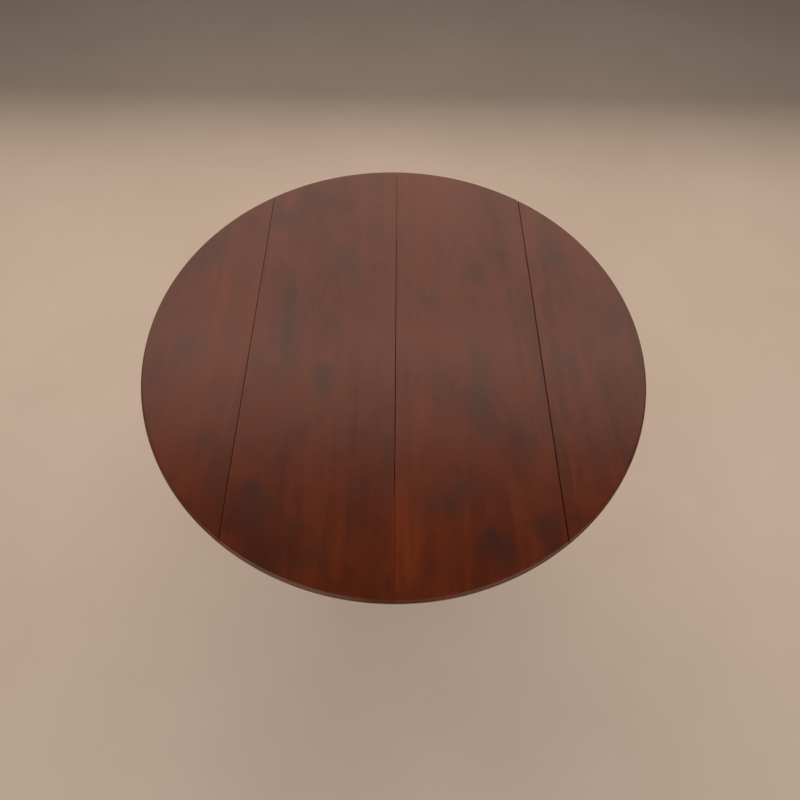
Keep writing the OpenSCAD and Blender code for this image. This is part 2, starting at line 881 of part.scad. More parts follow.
// Turned outline of the column, from the drum up to the collar
neck_r = 34;
collar_r = 66;
collar_h = 16;
vase_low = drum_high + 38;
vase_high = mount_low - 92;
column_line = concat(
    [[0, drum_low], [drum_r - 3, drum_low], [drum_r, drum_low + 3],
     [drum_r, drum_high - 4], [drum_r - 4, drum_high]],
    curve([drum_r - 12, drum_high], [drum_r - 14, drum_high + 22], [neck_r + 2, drum_high + 20],
          [neck_r, vase_low], 8),
    curve([neck_r + 4, vase_low + 1], [vase_r + 26, vase_low + 60], [neck_r + 12, vase_high - 110],
          [neck_r - 2, vase_high], 18),
    [[neck_r + 6, vase_high], [neck_r + 8, vase_high + 5],
     [neck_r + 6, vase_high + 10], [neck_r, vase_high + 10]],
    curve([neck_r, vase_high + 14], [neck_r, vase_high + 50], [collar_r - 26, mount_low - collar_h - 6],
          [collar_r - 8, mount_low - collar_h], 10),
    [[collar_r - 3, mount_low - collar_h], [collar_r, mount_low - collar_h + 3], [collar_r, mount_low - 3],
     [collar_r - 3, mount_low], [tenon_r, mount_low], [tenon_r, mount_top], [0, mount_top]]
);

finial_stem_r = 6;
finial_stem_l = 34;
brace_t = 3;
brace_reach = drum_r + 36;
brace_w = 24;

// Dovetail tongue section in plan: narrow at the drum's face and wide inside
module dovetail(extra) {
    w = leg_t * 0.46;
    polygon([
        [drum_r + 3, -w / 2 - extra], [drum_r + 3, w / 2 + extra],
        [drum_r - dovetail_d - extra, w * 0.72 + extra], [drum_r - dovetail_d - extra, -w * 0.72 - extra]
    ]);
}

leg_angles = [225, 315, 135, 45];
tongue_top = drum_high - 22;

module column() {
    color(rosewood) difference() {
        rotate_extrude() polygon(column_line);
        for (a = leg_angles)
            rotate(a) translate([0, 0, drum_low - 1])
                linear_extrude(tongue_top - drum_low + 1 + glue_gap) dovetail(glue_gap);
        translate([0, 0, drum_low - 1]) cylinder(h = finial_stem_l + 2, r = finial_stem_r + fit_gap);
        translate([0, 0, mount_top - axle_stem_l - 1]) cylinder(h = axle_stem_l + 2, r = axle_stem_r + fit_gap);
        for (p = hub_screws) translate(p) screw_hole(brace_screw_l, frame_r, frame_head_r);
    }
}

// Side outline of a leg: a swept back, a rounded toe and a hollow underside
toe_round = 15;
leg_back = curve([drum_r - 4, drum_high - 10], [drum_r + 150, drum_high - 2], [toe_reach - 200, glide_h + 72],
                 [toe_reach - 30, glide_h + 46], 16);
leg_belly = curve([toe_reach - 76, glide_h], [toe_reach - 170, glide_h + 14], [drum_r + 110, drum_low + 8],
                  [drum_r + 40, drum_low], 14);
toe_mid = [toe_reach - toe_round, glide_h + toe_round + 6];
toe_arc = [for (a = [80 : -17 : -90]) toe_mid + toe_round * [cos(a), sin(a)]];
leg_line = concat(
    leg_back, toe_arc, [[toe_mid[0] - 4, glide_h]], leg_belly, [[drum_r - 4, drum_low]]
);
glide_in = 44;           // from a toe's end to its glide
glide_x = toe_reach - glide_in;
glide_stem_r = 3;
glide_stem_l = 16;
glide_ease = 1.5;

module leg(angle) {
    color(rosewood) rotate(angle) difference() {
        union() {
            difference() {
                along_y(leg_t / 2) polygon(leg_line);
                translate([0, 0, -1]) cylinder(h = table_h, r = drum_r + glue_gap, $fn = 128);
            }
            intersection() {
                translate([0, 0, drum_low]) linear_extrude(tongue_top - drum_low) dovetail(0);
                translate([0, -drum_r, 0]) cube([drum_r + 3, 2 * drum_r, table_h]);
            }
        }
        translate([glide_x, 0, -1]) cylinder(h = glide_h + glide_stem_l + 2, r = glide_stem_r + fit_gap);
        translate(leg_screw) screw_hole(brace_screw_l, frame_r, frame_head_r);
    }
}

brace_screw_l = 26;
leg_screw = [drum_r + 24, 0, drum_low - brace_t];
hub_screws = [for (a = [0 : 90 : 270]) [drum_r * 0.6 * cos(a), drum_r * 0.6 * sin(a), drum_low - brace_t]];

module brace_outline() {
    difference() {
        union() {
            circle(drum_r - 6);
            for (a = [45, 135])
                rotate(a) square([2 * brace_reach, brace_w], center = true);
        }
        circle(finial_stem_r + 0.3);
    }
}

module leg_brace() {
    color(steel) difference() {
        translate([0, 0, drum_low - brace_t]) linear_extrude(brace_t) brace_outline();
        for (a = leg_angles) rotate(a) translate(leg_screw) screw_hole(brace_screw_l, frame_r, frame_head_r);
        for (p = hub_screws) translate(p) screw_hole(brace_screw_l, frame_r, frame_head_r);
    }
}

module brace_screws() {
    color(steel) {
        for (a = leg_angles) rotate(a) translate(leg_screw) screw(brace_screw_l, frame_r, frame_head_r);
        for (p = hub_screws) translate(p) screw(brace_screw_l, frame_r, frame_head_r);
    }
}

// Turned drop under the drum, with a long stem up into the column
finial_r = 27;
finial_top = drum_low - brace_t;
finial_line = concat(
    [[0, finial_top], [finial_r, finial_top], [finial_r, finial_top - 5]],
    curve([finial_r - 7, finial_top - 7], [finial_r - 12, finial_top - 14], [finial_r - 2, finial_top - 18],
          [finial_r - 4, finial_top - 26], 8),
    curve([finial_r - 6, finial_top - 30], [finial_r - 8, finial_top - 42], [8, finial_top - 46],
          [0, finial_top - 50], 8)
);

module drop_finial() {
    color(rosewood) union() {
        rotate_extrude() polygon(finial_line);
        translate([0, 0, finial_top - eps]) cylinder(h = finial_stem_l + brace_t, r = finial_stem_r);
    }
}

module floor_glides() {
    color(black) for (a = leg_angles)
        rotate(a) translate([glide_x, 0, 0]) union() {
            cylinder(h = glide_ease, r1 = glide_r - glide_ease, r2 = glide_r);
            translate([0, 0, glide_ease]) cylinder(h = glide_h - glide_ease, r = glide_r);
            cylinder(h = glide_h + glide_stem_l, r = glide_stem_r);
        }
}

mounting_plate();
column();
leg(leg_angles[0]);  // leg_front_left
leg(leg_angles[1]);  // leg_front_right
leg(leg_angles[2]);  // leg_back_left
leg(leg_angles[3]);  // leg_back_right
leg_brace();
brace_screws();
drop_finial();
floor_glides();
rail(-1);  // front_rail
rail(1);  // back_rail
rail_screws();
equalizer_axle();
equalizer_pinion();

top_left();
side_apron(-1);  // left_side_apron
end_apron(-1, -1);  // left_front_apron
end_apron(-1, 1);  // left_back_apron
corner_blocks(-1);  // left_corner_blocks
runner(-1, -1);  // left_front_runner
runner(-1, 1);  // left_back_runner
rack(-1);  // left_rack
left_frame_screws();
hinge_plates(-1);  // left_hinge_plates
hinge_pins(-1);  // left_hinge_pins
hinge_screws(-1);  // left_hinge_screws
support_guides(-1);  // left_support_guides
alignment_pins();
lock_keeper();
color(rosewood) on_side(-1) leaf_board();  // left_leaf
leaf_plates(-1);  // left_leaf_plates
leaf_screws(-1);  // left_leaf_screws
bearers(-1);  // left_bearers
bearer_screws(-1);  // left_bearer_screws
supports(-1);  // left_supports

top_right();
side_apron(1);  // right_side_apron
end_apron(1, -1);  // right_front_apron
end_apron(1, 1);  // right_back_apron
corner_blocks(1);  // right_corner_blocks
runner(1, -1);  // right_front_runner
runner(1, 1);  // right_back_runner
rack(1);  // right_rack
frame_screws(1);  // right_frame_screws
hinge_plates(1);  // right_hinge_plates
hinge_pins(1);  // right_hinge_pins
hinge_screws(1);  // right_hinge_screws
support_guides(1);  // right_support_guides
lock_base();
lock_screws();
color(rosewood) leaf_board();  // right_leaf
leaf_plates(1);  // right_leaf_plates
leaf_screws(1);  // right_leaf_screws
bearers(1);  // right_bearers
bearer_screws(1);  // right_bearer_screws
supports(1);  // right_supports
lock_lever();
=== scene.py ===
import json
import math

import bmesh
import bpy
from mathutils import Matrix, Vector


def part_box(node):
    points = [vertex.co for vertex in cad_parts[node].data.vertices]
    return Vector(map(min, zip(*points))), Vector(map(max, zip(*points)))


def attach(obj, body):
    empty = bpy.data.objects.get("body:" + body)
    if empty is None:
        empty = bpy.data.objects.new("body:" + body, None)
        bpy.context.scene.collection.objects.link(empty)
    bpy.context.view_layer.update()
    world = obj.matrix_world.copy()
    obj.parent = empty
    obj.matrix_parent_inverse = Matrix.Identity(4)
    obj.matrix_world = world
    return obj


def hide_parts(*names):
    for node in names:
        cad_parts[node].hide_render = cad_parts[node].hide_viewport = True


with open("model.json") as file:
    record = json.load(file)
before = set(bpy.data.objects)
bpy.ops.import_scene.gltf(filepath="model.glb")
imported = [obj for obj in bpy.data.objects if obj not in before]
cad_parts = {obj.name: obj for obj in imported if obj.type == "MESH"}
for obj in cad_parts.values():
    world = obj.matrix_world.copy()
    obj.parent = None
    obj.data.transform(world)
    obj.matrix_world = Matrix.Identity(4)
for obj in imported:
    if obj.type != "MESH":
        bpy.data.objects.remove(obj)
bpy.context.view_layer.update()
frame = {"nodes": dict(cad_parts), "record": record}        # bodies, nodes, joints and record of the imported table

nodes = frame["nodes"]
bodyOfNode = {n: b for b, members in frame["record"]["behaviour"]["bodies"].items() for n in members}
slotOfNode = {s["node"]: s["material_slot"] for s in frame["record"]["subparts"]}


def mm(value):
    return value / 1000


# sizes that the pieces share, read off the frame
halfLow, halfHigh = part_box("top_right")
leafLow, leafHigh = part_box("right_leaf")
pinLow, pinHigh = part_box("right_hinge_pins")
table = {
    "rimR": min(halfHigh[1], leafHigh[0]),
    "topZ": halfHigh[2],
    "underZ": halfLow[2],
    "seamX": halfLow[0],                        # half of the gap at the middle seam
    "hingeX": (pinLow[0] + pinHigh[0]) / 2,
    "pinZ": (pinLow[2] + pinHigh[2]) / 2,
    "leafX": leafLow[0],
}
table["ruleR"] = halfHigh[0] - table["hingeX"]  # radius of the rule joint's rounded edge


class Wire:
    # one shader output; sums and products on it add Math nodes
    def __init__(self, finish, socket):
        self.finish = finish
        self.socket = socket

    def math(self, kind, *others, flipped=False):
        values = [self, *others]
        if flipped:
            values.reverse()
        return self.finish.add("ShaderNodeMath", {"operation": kind}, dict(enumerate(values)))

    def __add__(self, other):
        return self.math("ADD", other)

    def __radd__(self, other):
        return self.math("ADD", other)

    def __sub__(self, other):
        return self.math("SUBTRACT", other)

    def __rsub__(self, other):
        return self.math("SUBTRACT", other, flipped=True)

    def __mul__(self, other):
        return self.math("MULTIPLY", other)

    def __rmul__(self, other):
        return self.math("MULTIPLY", other)

    def step(self, low, high):
        # 0 below low, 1 above high, smooth between them
        settings = {"interpolation_type": "SMOOTHSTEP"}
        values = {"Value": self, "From Min": low, "From Max": high}
        return self.finish.add("ShaderNodeMapRange", settings, values)


class Finish:
    # one material and its nodes
    def __init__(self, name):
        self.material = bpy.data.materials.new(name)
        self.material.use_nodes = True
        self.tree = self.material.node_tree
        self.tree.nodes.clear()

    def add(self, kind, settings=None, values=None, out=0):
        node = self.tree.nodes.new(kind)
        for key, value in (settings or {}).items():
            setattr(node, key, value)
        for key, value in (values or {}).items():
            socket = node.inputs[key]
            if isinstance(value, Wire):
                self.tree.links.new(value.socket, socket)
            else:
                socket.default_value = value
        return Wire(self, node.outputs[out]) if node.outputs else None

    def objectPlace(self):
        return self.add("ShaderNodeTexCoord", out="Object")

    def stored(self, name, out):
        return self.add("ShaderNodeAttribute", {"attribute_name": name}, out=out)

    def scaled(self, vector, factors):
        return self.add("ShaderNodeVectorMath", {"operation": "MULTIPLY"}, {0: vector, 1: factors})

    def part(self, vector, axis):
        return self.add("ShaderNodeSeparateXYZ", None, {0: vector}, out=axis)

    def noise(self, vector, factors, detail=3.0, rough=0.5, distort=0.0, seed=None):
        values = {
            "Vector": self.scaled(vector, factors), "Scale": 1.0,
            "Detail": detail, "Roughness": rough, "Distortion": distort,
        }
        if seed is not None:
            values["W"] = seed
        settings = {"noise_dimensions": "3D" if seed is None else "4D"}
        return self.add("ShaderNodeTexNoise", settings, values, out="Fac")

    def blend(self, amount, first, second):
        settings = {"data_type": "RGBA", "blend_type": "MIX", "clamp_factor": True}
        return self.add("ShaderNodeMix", settings, {0: amount, 6: first, 7: second}, out=2)

    def bump(self, height, distance, strength):
        values = {"Height": height, "Distance": distance, "Strength": strength}
        return self.add("ShaderNodeBump", None, values)

    def shade(self, values):
        surface = self.add("ShaderNodeBsdfPrincipled", None, values)
        self.add("ShaderNodeOutputMaterial", None, {"Surface": surface})
        return self.material


def rgb(red, green, blue):
    return (red, green, blue, 1.0)


cherryLook = {
    "deep": rgb(0.064, 0.0104, 0.0013),
    "body": rgb(0.126, 0.0186, 0.0012),
    "glow": rgb(0.205, 0.0350, 0.0024),
    "smoke": rgb(0.046, 0.0145, 0.0078),
    "worn": rgb(0.17, 0.050, 0.014),
    "arch": 0.085,              # how fast the grain's arches close towards the heart
    "clouds": (5.2, 3.1, 5.2),  # fineness of each pattern across the grain, along it and in depth
    "blotches": (15.0, 8.5, 15.0),
    "streaks": (52.0, 1.9, 52.0),
    "ripple": (10.0, 70.0, 10.0),
    "fibres": (520.0, 11.0, 520.0),
    "pores": (1500.0, 60.0, 1500.0),
    "warp": (17.0, 11.0, 17.0),
    "drift": (0.10, 0.20),      # how far the edges of the dark patches wander, in metres
    "relief": mm(0.05),
    "specular": 0.12,
    "coat": 0.72,
    "coatRoughness": 0.235,
    "coatIor": 1.5,
}


def soften(finish, place, centre, reach):
    # 1 in the middle of a soft oval patch, 0 outside it
    away = finish.add("ShaderNodeVectorMath", {"operation": "SUBTRACT"}, {0: place, 1: (*centre, 0)})
    away = finish.scaled(away, (1 / reach[0], 1 / reach[1], 0))
    length = finish.add("ShaderNodeVectorMath", {"operation": "LENGTH"}, {0: away}, out="Value")
    return 1 - length.step(0.15, 1.0)


def stainedCherry(name, patches=(), glows=()):
    f, look = Finish(name), cherryLook
    grain = f.stored("grainPlace", "Vector")     # x across the board from its heart, y along the grain
    seed = f.stored("boardSeed", "Fac")
    wear = f.stored("wear", "Fac")
    across = f.part(grain, "X")
    along = f.part(grain, "Y")
    arch = (across * across + along * along * look["arch"] ** 2 + 0.0003).math("SQRT")
    arched = f.add("ShaderNodeCombineXYZ", None, {"X": arch, "Y": along, "Z": f.part(grain, "Z")})
    clouds = f.noise(grain, look["clouds"], 4, 0.55, 0.8, seed)
    blotches = f.noise(grain, look["blotches"], 5, 0.62, 0.7, seed)
    streaks = f.noise(arched, look["streaks"], 4, 0.55, 0.3, seed)
    ripple = f.noise(grain, look["ripple"], 2, 0.5, 1.2, seed)
    fibres = f.noise(arched, look["fibres"], 3, 0.6, 0.0, seed)
    pores = f.noise(arched, look["pores"], 2, 0.5, 0.0, seed)
    tone = (clouds * 0.5 + blotches * 0.35 + streaks * 0.15).step(0.36, 0.60)
    colour = f.blend(tone, look["deep"], look["body"])
    colour = f.blend(streaks.step(0.45, 0.78) * 0.20, colour, look["glow"])
    colour = f.blend(ripple.step(0.52, 0.8) * blotches * 0.22, colour, look["glow"])
    colour = f.blend(blotches.step(0.54, 0.72) * 0.30, colour, look["smoke"])
    warp = f.noise(grain, look["warp"], 4, 0.6, 0.0, seed)
    if patches or glows:
        place = f.objectPlace()
        driftX, driftY = (warp - 0.5) * look["drift"][0], (blotches - 0.5) * look["drift"][1]
        drift = f.add("ShaderNodeCombineXYZ", None, {"X": driftX, "Y": driftY})
        place = f.add("ShaderNodeVectorMath", None, {0: place, 1: drift})
        for centre, reach, strength in glows:
            streak = soften(f, place, centre, reach) * streaks.step(0.35, 0.6)
            colour = f.blend(streak * strength, colour, look["glow"])
        for centre, reach, strength in patches:
            spot = soften(f, place, centre, reach) * warp.step(0.3, 0.6)
            colour = f.blend(spot * strength, colour, look["smoke"])
    colour = f.blend(fibres.step(0.5, 0.75) * 0.20, colour, look["deep"])
    colour = f.blend(pores.step(0.62, 0.74) * 0.45, colour, look["deep"])
    colour = f.blend(wear * warp.step(0.4, 0.62) * 0.6, colour, look["worn"])
    rough = 0.50 + blotches * 0.14 + fibres * 0.05
    height = fibres * 0.35 - pores.step(0.62, 0.74) * 0.5 + streaks * 0.2
    normal = f.bump(height, look["relief"], 0.3)
    return f.shade({
        "Base Color": colour, "Roughness": rough, "Normal": normal, "Specular IOR Level": look["specular"],
        "Coat Weight": look["coat"] + clouds * 0.25, "Coat Roughness": look["coatRoughness"],
        "Coat IOR": look["coatIor"],
    })


mapleLook = {
    "pale": rgb(0.62, 0.43, 0.24),
    "warm": rgb(0.50, 0.31, 0.15),
    "brown": rgb(0.30, 0.17, 0.075),
    "broad": (9.0, 1.2, 9.0),   # fineness of each pattern across the grain, along it and in depth
    "rings": (95.0, 2.2, 95.0),
    "fibres": (620.0, 14.0, 620.0),
    "flecks": (260.0, 90.0, 260.0),
    "relief": mm(0.06),
}


def bareMaple():
    f, look = Finish("bareMaple"), mapleLook
    grain = f.stored("grainPlace", "Vector")
    wear = f.stored("wear", "Fac")
    seed = f.stored("boardSeed", "Fac")
    broad = f.noise(grain, look["broad"], 4, 0.55, 0.8, seed)
    rings = f.noise(grain, look["rings"], 3, 0.5, 0.5, seed)
    fibres = f.noise(grain, look["fibres"], 3, 0.6, 0.0, seed)
    flecks = f.noise(grain, look["flecks"], 2, 0.5, 0.0, seed)
    colour = f.blend(broad.step(0.35, 0.65), look["pale"], look["warm"])
    colour = f.blend(rings.step(0.48, 0.7) * 0.5, colour, look["brown"])
    colour = f.blend(fibres.step(0.5, 0.8) * 0.25, colour, look["brown"])
    colour = f.blend(flecks.step(0.66, 0.76) * 0.3, colour, look["brown"])
    colour = f.blend(wear * 0.3, colour, look["brown"])
    normal = f.bump(fibres + rings * 0.5, look["relief"], 0.5)
    return f.shade({
        "Base Color": colour, "Roughness": 0.48 + fibres * 0.2, "Normal": normal,
        "Specular IOR Level": 0.35,
    })


metalLook = {
    "stain": (60.0, 60.0, 60.0),        # fineness of each pattern
    "spots": (420.0, 420.0, 420.0),
    "scratches": (900.0, 900.0, 60.0),
    "relief": mm(0.02),
}


def metal(name, bright, dull, roughness):
    f, look = Finish(name), metalLook
    place = f.objectPlace()
    wear = f.stored("wear", "Fac")
    stain = f.noise(place, look["stain"], 5, 0.62, 0.4)
    spots = f.noise(place, look["spots"], 3, 0.55)
    scratches = f.noise(place, look["scratches"], 3, 0.6)
    dirt = (stain * 0.7 + spots * 0.3).step(0.42, 0.68)
    colour = f.blend(dirt, bright, dull)
    colour = f.blend(wear * 0.6, colour, bright)
    rough = roughness + dirt * 0.22 + scratches * 0.1 - wear * 0.08
    normal = f.bump(scratches + spots * 0.4, look["relief"], 0.4)
    metallic = 1.0 - dirt * 0.12
    return f.shade({"Base Color": colour, "Metallic": metallic, "Roughness": rough, "Normal": normal})


nylonLook = {
    "black": rgb(0.012, 0.012, 0.013),
    "grey": rgb(0.03, 0.029, 0.028),
    "rubbed": rgb(0.07, 0.068, 0.065),
    "relief": mm(0.03),
}


def blackNylon():
    f, look = Finish("blackNylon"), nylonLook
    place = f.objectPlace()
    wear = f.stored("wear", "Fac")
    cloud = f.noise(place, (45.0, 45.0, 45.0), 4, 0.6)
    pebble = f.noise(place, (1800.0, 1800.0, 1800.0), 2, 0.5)
    colour = f.blend(cloud.step(0.4, 0.7), look["black"], look["grey"])
    colour = f.blend(wear * 0.5, colour, look["rubbed"])
    normal = f.bump(pebble, look["relief"], 0.5)
    return f.shade({"Base Color": colour, "Roughness": 0.42 + cloud * 0.2, "Normal": normal})


floorLook = {"dusty": rgb(0.74, 0.66, 0.58), "pale": rgb(0.79, 0.71, 0.63)}


def paleFloor():
    f, look = Finish("paleFloor"), floorLook
    place = f.objectPlace()
    cloud = f.noise(place, (1.1, 1.1, 1.1), 4, 0.6)
    colour = f.blend(cloud.step(0.3, 0.7), look["dusty"], look["pale"])
    return f.shade({"Base Color": colour, "Roughness": 0.85, "Specular IOR Level": 0.15})


# soft dark patches and warm streaks of the top: place, reach and strength, in metres
halfPatches = [
    ((-0.237, 0.010), (0.045, 0.190), 0.85), ((-0.105, 0.205), (0.040, 0.110), 0.75),
    ((-0.148, -0.120), (0.034, 0.110), 0.85), ((-0.240, -0.370), (0.050, 0.080), 0.7),
    ((-0.275, 0.365), (0.080, 0.060), 0.6), ((-0.170, -0.445), (0.110, 0.070), 0.75),
    ((0.175, -0.060), (0.034, 0.130), 0.75), ((0.180, -0.155), (0.034, 0.050), 0.8),
    ((0.075, 0.112), (0.045, 0.040), 0.6), ((0.105, -0.345), (0.060, 0.060), 0.8),
    ((0.175, -0.435), (0.080, 0.055), 0.95), ((0.265, -0.410), (0.060, 0.060), 0.8),
    ((0.190, 0.190), (0.040, 0.080), 0.45),
]
halfGlows = [
    ((0.020, -0.430), (0.045, 0.150), 0.65), ((0.235, -0.400), (0.030, 0.100), 0.5),
    ((-0.060, -0.120), (0.030, 0.260), 0.35), ((0.030, -0.200), (0.030, 0.200), 0.35),
    ((-0.120, -0.440), (0.090, 0.080), 0.35), ((0.255, 0.050), (0.030, 0.250), 0.30),
    ((-0.215, 0.060), (0.018, 0.120), 0.35),
]
leafPatches = [
    ((0.400, 0.245), (0.085, 0.045), 0.65), ((0.372, -0.070), (0.030, 0.060), 0.6),
    ((-0.430, -0.020), (0.060, 0.060), 0.45), ((-0.470, 0.200), (0.040, 0.070), 0.45),
    ((-0.350, -0.270), (0.040, 0.090), 0.4), ((0.470, 0.060), (0.040, 0.090), 0.45),
]
leafGlows = [
    ((0.335, -0.250), (0.020, 0.180), 0.5), ((0.325, 0.100), (0.018, 0.200), 0.35),
    ((-0.400, 0.120), (0.040, 0.160), 0.25),
]
finishes = {
    "stained_cherry": stainedCherry("stainedCherry"),
    "bare_maple": bareMaple(),
    "brass": metal("agedBrass", rgb(0.62, 0.42, 0.16), rgb(0.20, 0.115, 0.04), 0.30),
    "steel": metal("zincSteel", rgb(0.56, 0.56, 0.55), rgb(0.22, 0.215, 0.20), 0.32),
    "black_nylon": blackNylon(),
}
halfFinish = stainedCherry("stainedCherryHalves", patches=halfPatches, glows=halfGlows)
leafFinish = stainedCherry("stainedCherryLeaves", patches=leafPatches, glows=leafGlows)
print("finishes made:", len(finishes))


def linkMesh(name, mesh):
    obj = bpy.data.objects.new(name, mesh)
    bpy.context.scene.collection.objects.link(obj)
    return obj


def meshFrom(bm, name, smoothAngle=32):
    mesh = bpy.data.meshes.new(name)
    bm.to_mesh(mesh)
    bm.free()
    mesh.shade_smooth()
    mesh.set_sharp_from_angle(angle=math.radians(smoothAngle))
    return mesh


def storeGrain(mesh, place, seed):
    # place turns a vertex's position into (across, along, depth) in metres
    grain = mesh.attributes.new("grainPlace", "FLOAT_VECTOR", "POINT")
    grain.data.foreach_set("vector", [c for v in mesh.vertices for c in place(v.co)])
    seeds = mesh.attributes.new("boardSeed", "FLOAT", "POINT")
    seeds.data.foreach_set("value", [seed] * len(mesh.vertices))


def storeWear(mesh, amounts, domain="POINT"):
    wear = mesh.attributes.new("wear", "FLOAT", domain)
    wear.data.foreach_set("value", amounts)


def grainAlong(axis, heart=(0.0, 0.0, 0.0)):
    order = {"x": (1, 0, 2), "y": (0, 1, 2), "z": (0, 2, 1)}[axis]
    return lambda co: tuple(co[i] - heart[i] for i in order)


def settle(obj, node, finish=None):
    # the piece stands for its CAD node, on the same body and in the same slot
    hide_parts(node)
    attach(obj, bodyOfNode[node])
    obj.data.materials.clear()
    obj.data.materials.append(finish or finishes[slotOfNode[node]])
    return obj


def mirrored(bm):
    bmesh.ops.scale(bm, vec=(-1, 1, 1), verts=bm.verts)
    bmesh.ops.reverse_faces(bm, faces=bm.faces)


easing = {
    "weld": 1e-6, "flatAngle": 0.4,           # what joins and flattens the loose triangles
    "sharpAngle": 34, "smoothAngle": 24, "segments": 2, "profile": 0.6,
    "timberShortest": mm(2.5), "metalShortest": mm(0.3),      # shorter edges stay sharp
}


def easedCopy(node, name, width, place=None, seed=0.0, shortest=easing["timberShortest"]):
    # a welded copy of a CAD node with its long sharp edges eased
    bm = bmesh.new()
    bm.from_mesh(nodes[node].data)
    bmesh.ops.remove_doubles(bm, verts=bm.verts, dist=easing["weld"])
    bmesh.ops.dissolve_limit(
        bm, angle_limit=math.radians(easing["flatAngle"]), verts=bm.verts, edges=bm.edges)
    eased = bm.faces.layers.int.new("eased")
    sharpest = math.radians(easing["sharpAngle"])
    sharp = [
        e for e in bm.edges
        if len(e.link_faces) == 2 and e.calc_face_angle() > sharpest and e.calc_length() > shortest
    ]
    made = bmesh.ops.bevel(
        bm, geom=sharp, offset=width, offset_type="OFFSET", segments=easing["segments"],
        profile=easing["profile"], affect="EDGES", clamp_overlap=True)
    for face in made["faces"]:
        face[eased] = 1
    onEdge = [f[eased] for f in bm.faces for _ in f.loops]
    bm.faces.layers.int.remove(eased)
    obj = linkMesh(name, meshFrom(bm, name, easing["smoothAngle"]))
    storeWear(obj.data, [float(v) for v in onEdge], "CORNER")
    if place:
        storeGrain(obj.data, place, seed)
    return settle(obj, node)


def subtract(obj, cutter):
    change = obj.modifiers.new("cut", "BOOLEAN")
    change.operation = "DIFFERENCE"
    change.solver = "EXACT"
    change.object = cutter
    depsgraph = bpy.context.evaluated_depsgraph_get()
    cut = bpy.data.meshes.new_from_object(obj.evaluated_get(depsgraph))
    obj.modifiers.clear()
    obj.data = cut
    bpy.data.objects.remove(cutter)


def boxesMesh(name, boxes):
    bm = bmesh.new()
    for low, high in boxes:
        middle = [(a + b) / 2 for a, b in zip(low, high)]
        span = [b - a for a, b in zip(low, high)]
        placed = Matrix.Translation(middle) @ Matrix.Diagonal((*span, 1))
        bmesh.ops.create_cube(bm, size=1, matrix=placed)
    mesh = bpy.data.meshes.new(name)
    bm.to_mesh(mesh)
    bm.free()
    return linkMesh(name, mesh)


def islands(node):
    # the boxes of the separate solids in a CAD node
    bm = bmesh.new()
    bm.from_mesh(nodes[node].data)
    bmesh.ops.remove_doubles(bm, verts=bm.verts, dist=easing["weld"])
    found, seen = [], set()
    for start in bm.verts:
        if start in seen:
            continue
        seen.add(start)
        queue, group = [start], []
        while queue:
            vert = queue.pop()
            group.append(vert.co)
            for edge in vert.link_edges:
                other = edge.other_vert(vert)
                if other not in seen:
                    seen.add(other)
                    queue.append(other)
        low = Vector([min(co[k] for co in group) for k in range(3)])
        high = Vector([max(co[k] for co in group) for k in range(3)])
        found.append((low, high))
    bm.free()
    return found


rim = {
    "arris": mm(3),        # rounded arris at the top
    "quirk": mm(1.5),      # upright under the arris
    "setback": mm(3),      # how far the arris stands in
    "bead": mm(4),         # rounded upper edge of the bead
    "foot": mm(8),         # rounded lower edge
    "steps": 7,
}
joint = {
    "ease": mm(0.7),       # softened arris along each seam
    "cove": mm(0.7),       # gap between the rounded edge and the hollow
    "toe": mm(1.5),        # eased lower corner
    "steps": 12,
}
outline = {"seamSteps": 60, "arcSteps": 96, "inset": mm(2.5), "closest": mm(0.03), "easeSteps": 4}


def rounding(r, away):
    # how far a quarter round of radius r stands back, this far along from its middle
    return r - math.sqrt(max(0, r ** 2 - away ** 2))


def rimRadius(z):
    down = table["topZ"] - z
    r = table["rimR"]
    upper = r - rim["setback"]
    if down < rim["arris"]:
        return upper - rounding(rim["arris"], rim["arris"] - down)
    beadTop = rim["arris"] + rim["quirk"]
    beadMid = beadTop + rim["bead"]
    if down <= beadTop:
        return upper
    if down < beadMid:
        return max(upper, r - rounding(rim["bead"], beadMid - down))
    footMid = table["topZ"] - table["underZ"] - rim["foot"]
    if down > footMid:
        return r - rounding(rim["foot"], down - footMid)
    return r


def easeIn(z):
    # how far a seam's softened arris stands back at this height
    down = table["topZ"] - z
    if down >= joint["ease"]:
        return 0
    return rounding(joint["ease"], joint["ease"] - down)


seam = {
    "front": -0.345, "back": 0.300, "fade": 0.02,             # the halves stand apart between these
    "closed": mm(0.2),                                        # half of the gap past them
    "open": mm(0.25),                                         # what is added to half of the gap between them
    "lower": mm(0.05), "depth": mm(7),                        # half of the gap below this depth
    "leafRight": mm(1.1), "leafLeft": mm(0.25),               # what is added to the gap at each leaf
}


def halfInnerX(z, y):
    # the halves stand apart along most of the middle seam and meet at its ends and lower down
    fromFront = min(1, max(0, (y - seam["front"]) / seam["fade"]))
    toBack = min(1, max(0, (seam["back"] - y) / seam["fade"]))
    middle = fromFront * toBack
    gap = seam["closed"] + (table["seamX"] + seam["open"] - seam["closed"]) * middle
    if table["topZ"] - z > seam["depth"]:
        gap = seam["lower"]
    return gap + easeIn(z)


def halfOuterX(z, y):
    up = z - table["pinZ"]
    if up >= table["ruleR"]:
        return table["hingeX"] - easeIn(z)
    if up >= 0:
        return table["hingeX"] + math.sqrt(table["ruleR"] ** 2 - up ** 2)
    low = z - table["underZ"]
    back = rounding(joint["toe"], joint["toe"] - low) if low < joint["toe"] else 0
    return table["hingeX"] + table["ruleR"] - back


def leafInner(setBack):
    def innerX(z, y):
        up = z - table["pinZ"]
        coveR = table["ruleR"] + joint["cove"]
        lip = table["leafX"] + setBack + easeIn(z)
        if up >= coveR:
            return lip
        return max(lip, table["hingeX"] + (math.sqrt(coveR ** 2 - up ** 2) if up > 0 else coveR))
    return innerX


